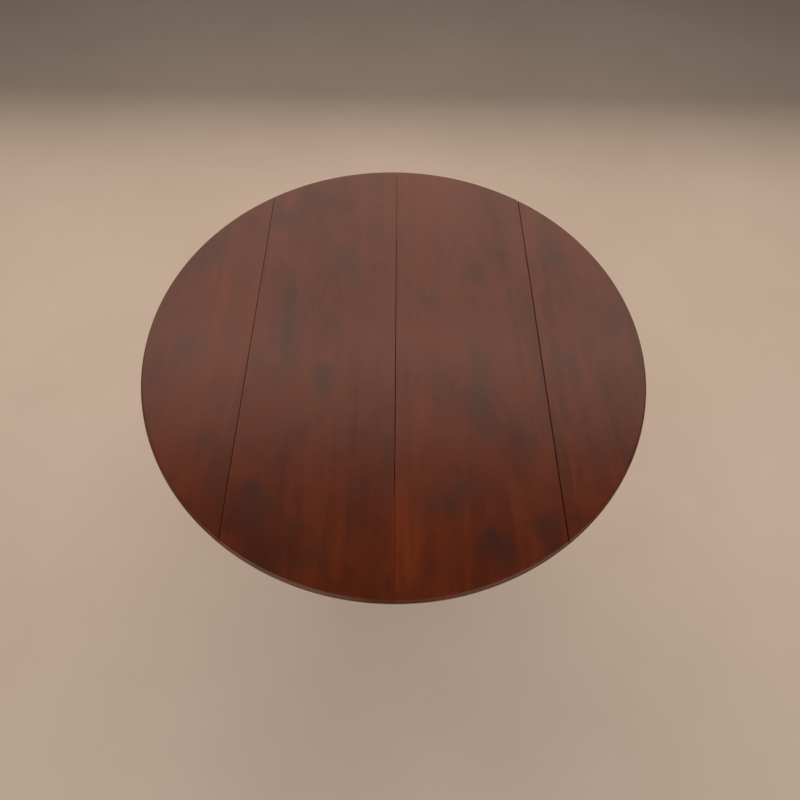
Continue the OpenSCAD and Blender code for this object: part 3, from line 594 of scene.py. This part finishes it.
def boardHeights():
    # every height at which the rim or a seam turns
    top, under, pin = table["topZ"], table["underZ"], table["pinZ"]
    arcs = [
        (top - joint["ease"], joint["ease"], 0, 90, outline["easeSteps"]),
        (top - rim["arris"], rim["arris"], 0, 90, rim["steps"]),
        (top - rim["arris"] - rim["quirk"] - rim["bead"], rim["bead"], 0, 90, rim["steps"]),
        (under + rim["foot"], rim["foot"], -90, 0, rim["steps"]),
        (pin, table["ruleR"], 0, 90, joint["steps"]),
        (pin, table["ruleR"] + joint["cove"], 0, 90, joint["steps"]),
        (under + joint["toe"], joint["toe"], -90, 0, outline["easeSteps"]),
    ]
    heights = {top, under, top - rim["arris"] - rim["quirk"]}
    for middle, r, start, end, steps in arcs:
        for i in range(steps + 1):
            heights.add(middle + r * math.sin(math.radians(start + (end - start) * i / steps)))
    kept = []
    for z in sorted(heights, reverse=True):
        if under - 1e-7 <= z <= top + 1e-7 and (not kept or kept[-1] - z > outline["closest"]):
            kept.append(z)
    kept[-1] = under
    return kept


def planRing(innerX, outerX, z, pull):
    # a board's outline seen from above; without outerX the rim closes it
    r = rimRadius(z) - pull
    endIn = math.acos(min(1, (innerX(z, r) + pull) / r))
    endOut = math.acos(min(1, (outerX(z, 0) - pull) / r)) if outerX else 0
    ring = []
    for i in range(outline["seamSteps"]):
        y = r * math.sin(endIn) * (2 * i / outline["seamSteps"] - 1)
        ring.append((innerX(z, y) + pull, y))
    for i in range(outline["arcSteps"]):
        a = endIn + (endOut - endIn) * i / outline["arcSteps"]
        ring.append((r * math.cos(a), r * math.sin(a)))
    if outerX:
        for i in range(outline["seamSteps"]):
            y = r * math.sin(endOut) * (1 - 2 * i / outline["seamSteps"])
            ring.append((outerX(z, y) - pull, y))
    for i in range(outline["arcSteps"]):
        a = endOut + (endIn - endOut) * i / outline["arcSteps"]
        ring.append((r * math.cos(a), -r * math.sin(a)))
    return ring


def boardMesh(innerX, outerX):
    # rings from the flat of the top, over the edges, to the flat underneath
    inset = outline["inset"]
    heights = boardHeights()
    levels = [(heights[0], inset)] + [(z, 0) for z in heights] + [(heights[-1], inset)]
    rows = []
    for z, pull in levels:
        rows.append([(x, y, z) for x, y in planRing(innerX, outerX, z, pull)])
    bm = bmesh.new()
    grid = [[bm.verts.new(co) for co in row] for row in rows]
    count = len(grid[0])
    for upper, lower in zip(grid, grid[1:]):
        for i in range(count):
            j = (i + 1) % count
            bm.faces.new((upper[i], lower[i], lower[j], upper[j]))
    bm.faces.new(grid[0])
    bm.faces.new(list(reversed(grid[-1])))
    bmesh.ops.recalc_face_normals(bm, faces=bm.faces)
    return bm


hinge = {
    "plate": mm(1.8), "knuckle": mm(3.2),
    "sideRoom": mm(0.2),        # beside a plate in its pocket
    "swingRoom": mm(0.5),       # beside and above what turns
    "knuckleRoom": mm(1.2),
    "edgeRoom": mm(1), "pastPin": mm(0.1),
    "below": mm(1),             # how far a cut starts under the board
}


def platePocket(plate, endX):
    low, high = plate
    return ((low[0], low[1] - hinge["sideRoom"], table["underZ"] - hinge["below"]),
            (endX, high[1] + hinge["sideRoom"], table["underZ"] + hinge["plate"]))


def hingeRoom():
    # boxes cut from a half for its hinges: plates, knuckles, and the long plates' swing
    pockets, gutters, swings = [], [], []
    pinX, low = table["hingeX"], table["underZ"] - hinge["below"]
    reach = hinge["knuckle"] + hinge["knuckleRoom"]
    swingEnd = pinX + table["ruleR"] + hinge["edgeRoom"]
    swingTop = table["underZ"] + hinge["plate"] + hinge["swingRoom"]
    for plate in islands("right_hinge_plates"):
        y0, y1 = plate[0][1] - hinge["swingRoom"], plate[1][1] + hinge["swingRoom"]
        pockets.append(platePocket(plate, pinX))
        gutters.append(((pinX - reach, y0, low), (pinX + reach, y1, table["pinZ"] + reach)))
        swings.append(((pinX + hinge["pastPin"], y0, low), (swingEnd, y1, swingTop)))
    return pockets, gutters, swings


def topBoard(name, node, side, innerX, outerX, heart, seed, cutters, finish):
    bm = boardMesh(innerX, outerX)
    obj = linkMesh(name, meshFrom(bm, name))
    for k, boxes in enumerate(cutters):
        subtract(obj, boxesMesh(f"cutter{k}", boxes))
    bm = bmesh.new()
    bm.from_mesh(obj.data)
    if side < 0:
        mirrored(bm)
    obj.data = meshFrom(bm, name)
    storeGrain(obj.data, grainAlong("y", heart), seed)
    storeWear(obj.data, [edgeWear(v.co) for v in obj.data.vertices])
    return settle(obj, node, finish)


rubbed = {
    "arris": 0.8, "bead": 0.35, "seam": 0.12,         # how strongly each edge is rubbed
    "beadDepth": mm(9), "seamEnd": mm(7), "seamBand": mm(1.6),
}


def edgeWear(co):
    # the rounded edge of the rim, the bead under the quirk, and the arrises of the seams
    r = math.hypot(co.x, co.y)
    down = table["topZ"] - co.z
    upper = table["rimR"] - rim["setback"]
    if down < rim["arris"] and r > upper - rim["arris"] * 0.75:
        return rubbed["arris"]
    if rim["arris"] + rim["quirk"] < down < rubbed["beadDepth"] and r > upper:
        return rubbed["bead"]
    fromSeam = min(abs(abs(co.x) - table["hingeX"]), abs(co.x))
    inside = r < table["rimR"] - rubbed["seamEnd"] and fromSeam < rubbed["seamBand"]
    return rubbed["seam"] if inside and down < joint["ease"] * 0.7 else 0.0


halfCuts = hingeRoom()
leafCuts = [[platePocket(plate, plate[1][0]) for plate in islands("right_leaf_plates")]]
boards = [
    ("topHalfRight", "top_right", 1, halfInnerX, halfOuterX,
     (0.175, -0.55, 0.0), 1.3, halfCuts, halfFinish),
    ("topHalfLeft", "top_left", -1, halfInnerX, halfOuterX,
     (-0.145, -0.20, 0.0), 4.6, halfCuts, halfFinish),
    ("dropLeafRight", "right_leaf", 1, leafInner(seam["leafRight"]), None,
     (0.62, 0.9, 0.0), 7.9, leafCuts, leafFinish),
    ("dropLeafLeft", "left_leaf", -1, leafInner(seam["leafLeft"]), None,
     (-0.66, 0.4, 0.0), 12.2, leafCuts, leafFinish),
]
for board in boards:
    topBoard(*board)
print("top boards made")


turning = {
    "segments": 144, "steps": 4,
    "smoothTurn": 24,           # sharper bends than this, in degrees, stay corners
    "smoothAngle": 30,
    "hollow": mm(6),            # deepest dip that belongs to the outside
    "pole": mm(0.02),           # a smaller radius closes to a point
    "proud": mm(12), "proudFull": mm(10), "crest": mm(0.6), "shoulder": mm(2),      # where edges are rubbed
}


def turnedLine(node):
    # outer radius at each height of a turned CAD node, from the bottom up
    widest = {}
    for v in nodes[node].data.vertices:
        z = round(v.co.z, 6)
        widest[z] = max(widest.get(z, 0), math.hypot(v.co.x, v.co.y))
    line = [(r, z) for z, r in sorted(widest.items())]
    line = [p for i, p in enumerate(line) if i in (0, len(line) - 1) or keepsShape(line, i)]
    return line[:-1] + [(line[-1][0], line[-2][1]), line[-1]]     # square shoulder under the stem


def keepsShape(line, i):
    # drops heights where only an inner feature has corners
    (r0, z0), (r, z), (r1, z1) = line[i - 1:i + 2]
    straight = r0 + (r1 - r0) * (z - z0) / (z1 - z0)
    return r > straight - turning["hollow"]


def turnAt(line, i):
    if i in (0, len(line) - 1):
        return 180
    a = Vector(line[i]) - Vector(line[i - 1])
    b = Vector(line[i + 1]) - Vector(line[i])
    return math.degrees(a.angle(b)) if a.length and b.length else 0


def smoothLine(line):
    # more points between the soft bends, none past a corner
    out = []
    soft = [turnAt(line, i) < turning["smoothTurn"] for i in range(len(line))]
    for i in range(len(line) - 1):
        p1, p2 = Vector(line[i]), Vector(line[i + 1])
        p0 = Vector(line[i - 1]) if soft[i] else 2 * p1 - p2
        p3 = Vector(line[i + 2]) if soft[i + 1] else 2 * p2 - p1
        steps = turning["steps"] if soft[i] or soft[i + 1] else 1
        for k in range(steps):
            t = k / steps
            point = 0.5 * (2 * p1 + (p2 - p0) * t + (2 * p0 - 5 * p1 + 4 * p2 - p3) * t ** 2
                           + (3 * p1 - p0 - 3 * p2 + p3) * t ** 3)
            out.append(tuple(point))
    return out + [line[-1]]


def lathe(line, segments):
    # line runs from the bottom up; both ends are closed on the axis
    bm = bmesh.new()
    rings = []
    for r, z in line:
        if r < turning["pole"]:
            rings.append([bm.verts.new((0, 0, z))])
        else:
            turns = [2 * math.pi * k / segments for k in range(segments)]
            rings.append([bm.verts.new((r * math.cos(a), r * math.sin(a), z)) for a in turns])
    for lower, upper in zip(rings, rings[1:]):
        for k in range(segments):
            j = (k + 1) % segments
            if len(lower) == 1:
                bm.faces.new((lower[0], upper[j], upper[k]))
            elif len(upper) == 1:
                bm.faces.new((lower[k], lower[j], upper[0]))
            else:
                bm.faces.new((lower[k], lower[j], upper[j], upper[k]))
    if len(rings[0]) > 1:
        bm.faces.new(list(reversed(rings[0])))
    if len(rings[-1]) > 1:
        bm.faces.new(rings[-1])
    bmesh.ops.recalc_face_normals(bm, faces=bm.faces)
    return bm


def axisGrain(heart):
    return lambda co: (co.x - heart[0], co.z, co.y - heart[1])


def turnedPiece(name, node, heart, seed, cutters=()):
    line = turnedLine(node)
    obj = linkMesh(name, meshFrom(lathe(smoothLine(line), turning["segments"]), name))
    for cutter in cutters:
        subtract(obj, cutter)
    bm = bmesh.new()
    bm.from_mesh(obj.data)
    obj.data = meshFrom(bm, name, turning["smoothAngle"])
    storeGrain(obj.data, axisGrain(heart), seed)
    storeWear(obj.data, [turnedWear(v, line) for v in obj.data.vertices])
    return settle(obj, node)


def turnedWear(v, line):
    # rubbed where the outline stands proud of its neighbours
    r = math.hypot(v.co.x, v.co.y)
    near = [p[0] for p in line if abs(p[1] - v.co.z) < turning["proud"]]
    if not near or r < max(near) - turning["shoulder"]:
        return 0.0
    share = min(1.0, (max(near) - min(near)) / turning["proudFull"])
    return share * (1.0 if r > max(near) - turning["crest"] else 0.3)


legShape = {
    "angles": {"leg_front_left": 225, "leg_front_right": 315, "leg_back_left": 135, "leg_back_right": 45},
    "taper": mm(5),             # how much narrower each side is at the toe
    "round": mm(6.5), "roundFlat": mm(1.5),
    "steps": 6, "sideSteps": 4, "flatBand": mm(2.5),
    "inside": mm(58),           # where the inner end starts, before it follows the drum
    "seatGap": mm(0.1), "socketGap": mm(0.1),
    "tonguePast": mm(3), "socketPast": mm(6), "socketBelow": mm(2),
    "slope": 32,                # the grain's fall, in degrees
    "grainStart": 0.3,
    "flatAngle": 0.3, "near": mm(1), "closest": mm(0.05),
    "narrower": mm(4), "drumRoom": mm(0.3), "cornerRoom": mm(0.5),      # what tells the dovetail's corners
    "scuffToe": mm(45), "scuffFoot": mm(18),
}


def legFrame(node):
    return Matrix.Rotation(math.radians(-legShape["angles"][node]), 4, "Z")


def legOutline(node):
    # the flat side of the CAD leg, as points (reach, height) in order from the drum's upper corner
    bm = bmesh.new()
    bm.from_mesh(nodes[node].data)
    bm.transform(legFrame(node))
    bmesh.ops.remove_doubles(bm, verts=bm.verts, dist=easing["weld"])
    bmesh.ops.dissolve_limit(
        bm, angle_limit=math.radians(legShape["flatAngle"]), verts=bm.verts, edges=bm.edges)
    bm.normal_update()
    side = max((f for f in bm.faces if f.normal.y > 0.99), key=lambda f: f.calc_area())
    halfWidth = side.verts[0].co.y
    points = [(v.co.x, v.co.z) for v in side.verts]
    narrower = [v.co.copy() for v in bm.verts if abs(v.co.y) < halfWidth - legShape["narrower"]]
    bm.free()
    area = sum(a[0] * b[1] - b[0] * a[1] for a, b in zip(points, points[1:] + points[:1]))
    if area > 0:
        points.reverse()                                   # clockwise: over the back, round the toe, home
    inner = min(p[0] for p in points)
    atDrum = inner + legShape["near"]
    start = max((i for i, p in enumerate(points) if p[0] < atDrum), key=lambda i: points[i][1])
    points = points[start:] + points[:start]
    points = [(legShape["inside"], z) if r < atDrum else (r, z) for r, z in points]
    return points, halfWidth, narrower


def insetNormals(points):
    # unit vectors that point into a clockwise outline
    out = []
    for i, p in enumerate(points):
        before = (Vector(p) - Vector(points[i - 1])).normalized()
        after = (Vector(points[(i + 1) % len(points)]) - Vector(p)).normalized()
        mean = (before + after).normalized()
        lean = max(0.5, mean.dot(after))
        out.append(Vector((mean.y, -mean.x)) / lean)
    return out


def tongueCorners(narrower):
    # the dovetail's own corners, apart from others that are narrower than the leg
    inside = [c for c in narrower if math.hypot(c.x, c.y) < drumRadius + legShape["drumRoom"]]
    deep = min(c.x for c in inside)
    wide = max(abs(c.y) for c in inside if c.x < deep + legShape["cornerRoom"])
    narrow = max(abs(c.y) for c in inside if c.x > drumRadius - legShape["narrower"])
    face = max(c.x for c in inside)
    low, high = min(c.z for c in inside), max(c.z for c in inside)
    return deep, wide, face, narrow, low, high


def dovetailPrism(corners, gap, past):
    # wide inside, narrow at the drum's face, drawn on past the face by the same slope
    deep, wide, face, narrow, low, high = corners
    end = face + past
    narrowEnd = wide + (narrow - wide) * (end - deep) / (face - deep)
    half = [(deep - gap, wide + gap), (end, narrowEnd + gap)]
    plan = [(x, -y) for x, y in half] + half[::-1]
    bottom = low - (legShape["socketBelow"] if gap else 0)
    bm = bmesh.new()
    lower = [bm.verts.new((x, y, bottom)) for x, y in plan]
    upper = [bm.verts.new((x, y, high + gap)) for x, y in plan]
    for i in range(4):
        j = (i + 1) % 4
        bm.faces.new((lower[i], lower[j], upper[j], upper[i]))
    bm.faces.new(list(reversed(lower)))
    bm.faces.new(upper)
    bmesh.ops.recalc_face_normals(bm, faces=bm.faces)
    return bm


drumRadius = max(math.hypot(v.co.x, v.co.y) for v in nodes["column"].data.vertices if v.co.z < 0.25)


def legPiece(node, seed):
    points, halfWidth, narrower = legOutline(node)
    corners = tongueCorners(narrower)
    line = smoothLine(points + points[:1])[:-1]
    line = [p for i, p in enumerate(line)
            if (Vector(p) - Vector(line[i - 1])).length > legShape["closest"]]
    inward = insetNormals(line)
    toe, foot = max(p[0] for p in line), min(p[1] for p in line)
    drumLow = min(p[1] for p in line if p[0] < legShape["inside"] + legShape["near"])

    def halfAt(reach):
        return halfWidth - legShape["taper"] * max(0, reach - drumRadius) / (toe - drumRadius)

    def roundAt(p):
        flat = p[1] < foot + 2 * legShape["near"] or abs(p[1] - drumLow) < legShape["near"]
        return legShape["roundFlat"] if flat else legShape["round"]

    arc = [math.radians(90 * k / legShape["steps"]) for k in range(legShape["steps"] + 1)]
    sideSteps = legShape["sideSteps"]
    levels = [(None, 1)] + [(a, 1) for a in arc]
    levels += [(arc[-1], 1 - k / sideSteps) for k in range(1, sideSteps)]
    levels += [(arc[-1], 0)] + [(a, -v) for a, v in reversed(levels)]
    rows = []
    for angle, share in levels:
        rows.append([ringPoint(p, n, roundAt(p), angle, halfAt, share) for p, n in zip(line, inward)])
    bm = bmesh.new()
    grid = [[bm.verts.new(co) for co in row] for row in rows]
    for upper, lower in zip(grid, grid[1:]):
        for i in range(len(line)):
            j = (i + 1) % len(line)
            bm.faces.new((upper[i], upper[j], lower[j], lower[i]))
    bm.faces.new(list(reversed(grid[0])))
    bm.faces.new(grid[-1])
    bmesh.ops.recalc_face_normals(bm, faces=bm.faces)
    obj = linkMesh(node + "Swept", meshFrom(bm, node + "Swept"))
    bm = dovetailPrism(corners, 0, legShape["tonguePast"])
    bm.from_mesh(obj.data)
    bm.transform(legFrame(node).inverted())
    obj.data = meshFrom(bm, node + "Swept", turning["smoothAngle"])
    slope = math.radians(legShape["slope"])
    toLeg = legFrame(node)

    def place(co):
        c = toLeg @ co
        across = c.x * math.sin(slope) + c.z * math.cos(slope) + legShape["grainStart"]
        return (across, c.x * math.cos(slope) - c.z * math.sin(slope), c.y)

    storeGrain(obj.data, place, seed)
    storeWear(obj.data, [legWear(toLeg @ v.co, toe, foot) for v in obj.data.vertices])
    settle(obj, node)
    return corners


def ringPoint(p, n, r, angle, halfAt, share):
    # share runs from 1 on one side of the leg to -1 on the other; the inner end follows the drum
    if angle is None:
        pull, drop = r + legShape["flatBand"], 0
    else:
        pull, drop = r * (1 - math.sin(angle)), r * (1 - math.cos(angle))
    x, z = p[0] + n.x * pull, p[1] + n.y * pull
    y = share * (halfAt(x) - drop)
    seat = drumRadius + legShape["seatGap"]
    return (max(x, math.sqrt(seat ** 2 - y ** 2)), y, z)


def legWear(co, toe, foot):
    # scuffed toe and the edges of the foot
    atToe = max(0.0, 1 - (toe - co.x) / legShape["scuffToe"])
    atFoot = max(0.0, 1 - (co.z - foot) / legShape["scuffFoot"])
    return min(1.0, atToe + 0.6 * atFoot)


sockets = []
for number, legNode in enumerate(legShape["angles"]):
    legCorners = legPiece(legNode, 20.0 + 3.7 * number)
    prism = dovetailPrism(legCorners, legShape["socketGap"], legShape["socketPast"])
    prism.transform(legFrame(legNode).inverted())
    sockets.append(linkMesh("socketCutter", meshFrom(prism, "socketCutter")))
turnedPiece("turnedColumn", "column", (0.31, 0.12), 33.0, sockets)
turnedPiece("turnedDrop", "drop_finial", (0.25, 0.08), 41.0)
print("legs, column and drop made")


def curvedGrain(co):
    r = math.hypot(co.x, co.y)
    return (co.z, math.atan2(co.y, co.x) * r, r)


timbers = {
    "mounting_plate": (mm(2), grainAlong("y", (0.5, 0, 0)), 51.0),
    "front_rail": (mm(0.9), grainAlong("x", (0, 0.3, 0)), 52.0),
    "back_rail": (mm(0.9), grainAlong("x", (0, -0.3, 0)), 53.0),
    "alignment_pins": (mm(0.3), grainAlong("x", (0, 0.9, 0)), 54.0),
}
for sideName, start in (("left", 60.0), ("right", 80.0)):
    timbers.update({
        f"{sideName}_side_apron": (mm(1.4), grainAlong("y", (0.9, 0, 0)), start),
        f"{sideName}_front_apron": (mm(1.2), curvedGrain, start + 1.0),
        f"{sideName}_back_apron": (mm(1.2), curvedGrain, start + 2.0),
        f"{sideName}_corner_blocks": (mm(1.2), grainAlong("z", (0.3, 0, 0)), start + 3.0),
        f"{sideName}_front_runner": (mm(0.9), grainAlong("x", (0, 0.4, 0)), start + 4.0),
        f"{sideName}_back_runner": (mm(0.9), grainAlong("x", (0, 0.7, 0)), start + 5.0),
        f"{sideName}_support_guides": (mm(0.9), grainAlong("y", (0.6, 0, 0)), start + 6.0),
        f"{sideName}_supports": (mm(1.0), grainAlong("x", (0, 0.2, 0)), start + 7.0),
        f"{sideName}_bearers": (mm(1.2), grainAlong("x", (0, 0.5, 0)), start + 8.0),
    })
for node, (width, place, seed) in timbers.items():
    easedCopy(node, node + "Eased", width, place, seed)
print("timbers made:", len(timbers))

hardware = {        # how wide each piece's edges are eased
    "leg_brace": mm(0.4), "floor_glides": mm(0.4), "equalizer_axle": mm(0.3), "equalizer_pinion": mm(0.2),
    "left_rack": mm(0.25), "right_rack": mm(0.25),
    "left_hinge_plates": mm(0.25), "right_hinge_plates": mm(0.25),
    "left_leaf_plates": mm(0.25), "right_leaf_plates": mm(0.25),
    "left_hinge_pins": mm(0.2), "right_hinge_pins": mm(0.2),
    "lock_base": mm(0.3), "lock_keeper": mm(0.3), "lock_lever": mm(0.4),
}
for node, width in hardware.items():
    easedCopy(node, node + "Eased", width, shortest=easing["metalShortest"])
print("hardware made:", len(hardware))


screwShape = {
    "segments": 32,
    "largeHead": mm(3.5), "shank": 0.55, "smallShank": 0.485,      # shank radius as a share of the head's
    "slotWide": 0.22, "slotDeep": 0.24, "slotPast": mm(1),
    "pitch": mm(1.3), "threadDeep": 0.12, "plain": 0.2,            # plain share of the length
    "headEdge": mm(0.15), "headBand": mm(0.25), "tip": mm(0.05),
}


def screwMesh(name, headR, length):
    # countersunk head down, with a straight slot and rings of thread
    r = headR * screwShape["shank" if headR > screwShape["largeHead"] else "smallShank"]
    neck, pitch, edge = headR - r, screwShape["pitch"], screwShape["headEdge"]
    z = neck + length * screwShape["plain"]
    line = [(headR - edge, 0), (headR, edge), (headR, screwShape["headBand"]), (r, neck), (r, z)]
    while z < length - 2 * r - pitch:
        line += [(r * (1 - screwShape["threadDeep"]), z + pitch * 0.5), (r, z + pitch)]
        z += pitch
    line += [(r / 4, length - screwShape["tip"]), (0, length)]
    obj = linkMesh(name, meshFrom(lathe(line, screwShape["segments"]), name))
    wide, deep = headR * screwShape["slotWide"], headR * screwShape["slotDeep"]
    past = screwShape["slotPast"]
    slot = ((-headR - past, -wide / 2, -past), (headR + past, wide / 2, deep))
    subtract(obj, boxesMesh("slotCutter", [slot]))
    return obj


def screwTree():
    # sets one screw on every point, each turned by its own amount
    tree = bpy.data.node_groups.new("setScrews", "GeometryNodeTree")
    for label, kind, way in (
            ("Places", "NodeSocketGeometry", "INPUT"), ("Screw", "NodeSocketObject", "INPUT"),
            ("Turn Seed", "NodeSocketInt", "INPUT"), ("Finish", "NodeSocketMaterial", "INPUT"),
            ("Screws", "NodeSocketGeometry", "OUTPUT")):
        tree.interface.new_socket(label, in_out=way, socket_type=kind)
    given = tree.nodes.new("NodeGroupInput")
    result = tree.nodes.new("NodeGroupOutput")
    points = tree.nodes.new("GeometryNodeMeshToPoints")
    info = tree.nodes.new("GeometryNodeObjectInfo")
    turn = tree.nodes.new("FunctionNodeRandomValue")
    turn.data_type = "FLOAT_VECTOR"
    turn.inputs["Min"].default_value = (0, 0, 0)
    turn.inputs["Max"].default_value = (0, 0, 2 * math.pi)
    place = tree.nodes.new("GeometryNodeInstanceOnPoints")
    real = tree.nodes.new("GeometryNodeRealizeInstances")
    finish = tree.nodes.new("GeometryNodeSetMaterial")
    links = [
        (given, "Places", points, "Mesh"), (given, "Screw", info, "Object"),
        (given, "Turn Seed", turn, "Seed"), (points, "Points", place, "Points"),
        (info, "Geometry", place, "Instance"), (turn, "Value", place, "Rotation"),
        (place, "Instances", real, "Geometry"), (real, "Geometry", finish, "Geometry"),
        (given, "Finish", finish, "Material"), (finish, "Geometry", result, "Screws"),
    ]
    for source, output, target, entry in links:
        tree.links.new(source.outputs[output], target.inputs[entry])
    return tree


screwRows = screwTree()
screwInputs = {
    item.name: item.identifier for item in screwRows.interface.items_tree if item.in_out == "INPUT"}


def setScrews(node, seed):
    # CAD screws of one size are set together, then all of the node's are joined
    sizes = {}
    for low, high in islands(node):
        key = (round((high.x - low.x) / 2, 4), round(high.z - low.z, 4))
        sizes.setdefault(key, []).append(((low.x + high.x) / 2, (low.y + high.y) / 2, low.z))
    bm = bmesh.new()
    for number, ((headR, length), places) in enumerate(sorted(sizes.items())):
        screw = screwMesh("screwPattern", headR, length)
        spots = bpy.data.meshes.new("screwPlaces")
        spots.from_pydata(places, [], [])
        holder = linkMesh("screwPlaces", spots)
        rows = holder.modifiers.new("screws", "NODES")
        rows.node_group = screwRows
        rows[screwInputs["Screw"]] = screw
        rows[screwInputs["Turn Seed"]] = seed + number
        rows[screwInputs["Finish"]] = finishes[slotOfNode[node]]
        depsgraph = bpy.context.evaluated_depsgraph_get()
        made = bpy.data.meshes.new_from_object(holder.evaluated_get(depsgraph))
        bm.from_mesh(made)
        bpy.data.objects.remove(holder)
        bpy.data.objects.remove(screw)
    obj = linkMesh(node + "Set", meshFrom(bm, node + "Set", 35))
    return settle(obj, node)


screwNodes = [n for n in slotOfNode if n.endswith("_screws")]
for number, node in enumerate(screwNodes):
    setScrews(node, 11 + 5 * number)
print("screws set for", len(screwNodes), "nodes")


viewpoint = {
    "place": Vector((-0.0056, -0.636, 1.669)),
    "down": 62.1, "yaw": 1.78, "roll": 2.12,      # degrees
    "lens": 23.22, "sensor": 36,
}


def makeCamera(view):
    data = bpy.data.cameras.new("tableCamera")
    data.lens = view["lens"]
    data.sensor_width = view["sensor"]
    obj = bpy.data.objects.new("tableCamera", data)
    bpy.context.scene.collection.objects.link(obj)
    pitch, yaw, roll = (math.radians(view[k]) for k in ("down", "yaw", "roll"))
    ahead = Vector((math.sin(yaw) * math.cos(pitch), math.cos(yaw) * math.cos(pitch), -math.sin(pitch)))
    right = Vector((math.cos(yaw), -math.sin(yaw), 0))
    up = right.cross(ahead)
    rightTurned = math.cos(roll) * right + math.sin(roll) * up
    upTurned = -math.sin(roll) * right + math.cos(roll) * up
    turn = Matrix((rightTurned, upTurned, -ahead)).transposed().to_4x4()
    obj.matrix_world = Matrix.Translation(view["place"]) @ turn
    bpy.context.scene.camera = obj


warmWall, warmFront = (1.0, 0.79, 0.655), (1.0, 0.88, 0.77)
lamps = [       # name, place, aim, size, power and colour
    ("wallPanel", (0, 1.70, 2.0), (0, 1.2, 1.9), (5.5, 2.4), 58, warmWall),
    ("ceilingPanel", (0, 1.28, 3.25), (0, 1.26, 0.7), (5.5, 0.84), 19, warmWall),
    ("ceilingFade", (0, 0.62, 3.25), (0, 0.60, 0.7), (5.5, 0.48), 2.8, warmWall),
    ("frontLeft", (-2.3, -3.1, 3.3), (0, 0, 0.4), (3.4, 3.4), 74, warmFront),
    ("frontRight", (2.6, -2.9, 3.2), (0, 0, 0.4), (3.4, 3.4), 58, warmFront),
]
room = {"colour": rgb(1.0, 0.96, 0.92), "strength": 0.03}


def softLight(name, place, aim, size, power, colour):
    data = bpy.data.lights.new(name, "AREA")
    data.shape = "RECTANGLE"
    data.size, data.size_y = size
    data.energy = power
    data.color = colour
    obj = bpy.data.objects.new(name, data)
    bpy.context.scene.collection.objects.link(obj)
    obj.location = place
    obj.rotation_euler = (Vector(aim) - Vector(place)).to_track_quat("-Z", "Y").to_euler()
    obj.visible_camera = False


def makeFloor():
    bm = bmesh.new()
    bmesh.ops.create_grid(bm, x_segments=8, y_segments=8, size=9)
    mesh = bpy.data.meshes.new("studioFloor")
    bm.to_mesh(mesh)
    bm.free()
    floor = linkMesh("studioFloor", mesh)
    floor.data.materials.append(paleFloor())


makeCamera(viewpoint)
makeFloor()
for lamp in lamps:
    softLight(*lamp)
world = bpy.data.worlds.new("softRoom")
bpy.context.scene.world = world
world.use_nodes = True
air = world.node_tree.nodes["Background"]
air.inputs["Color"].default_value = room["colour"]
air.inputs["Strength"].default_value = room["strength"]
bpy.context.scene.view_settings.view_transform = "Standard"
print("camera and light set")
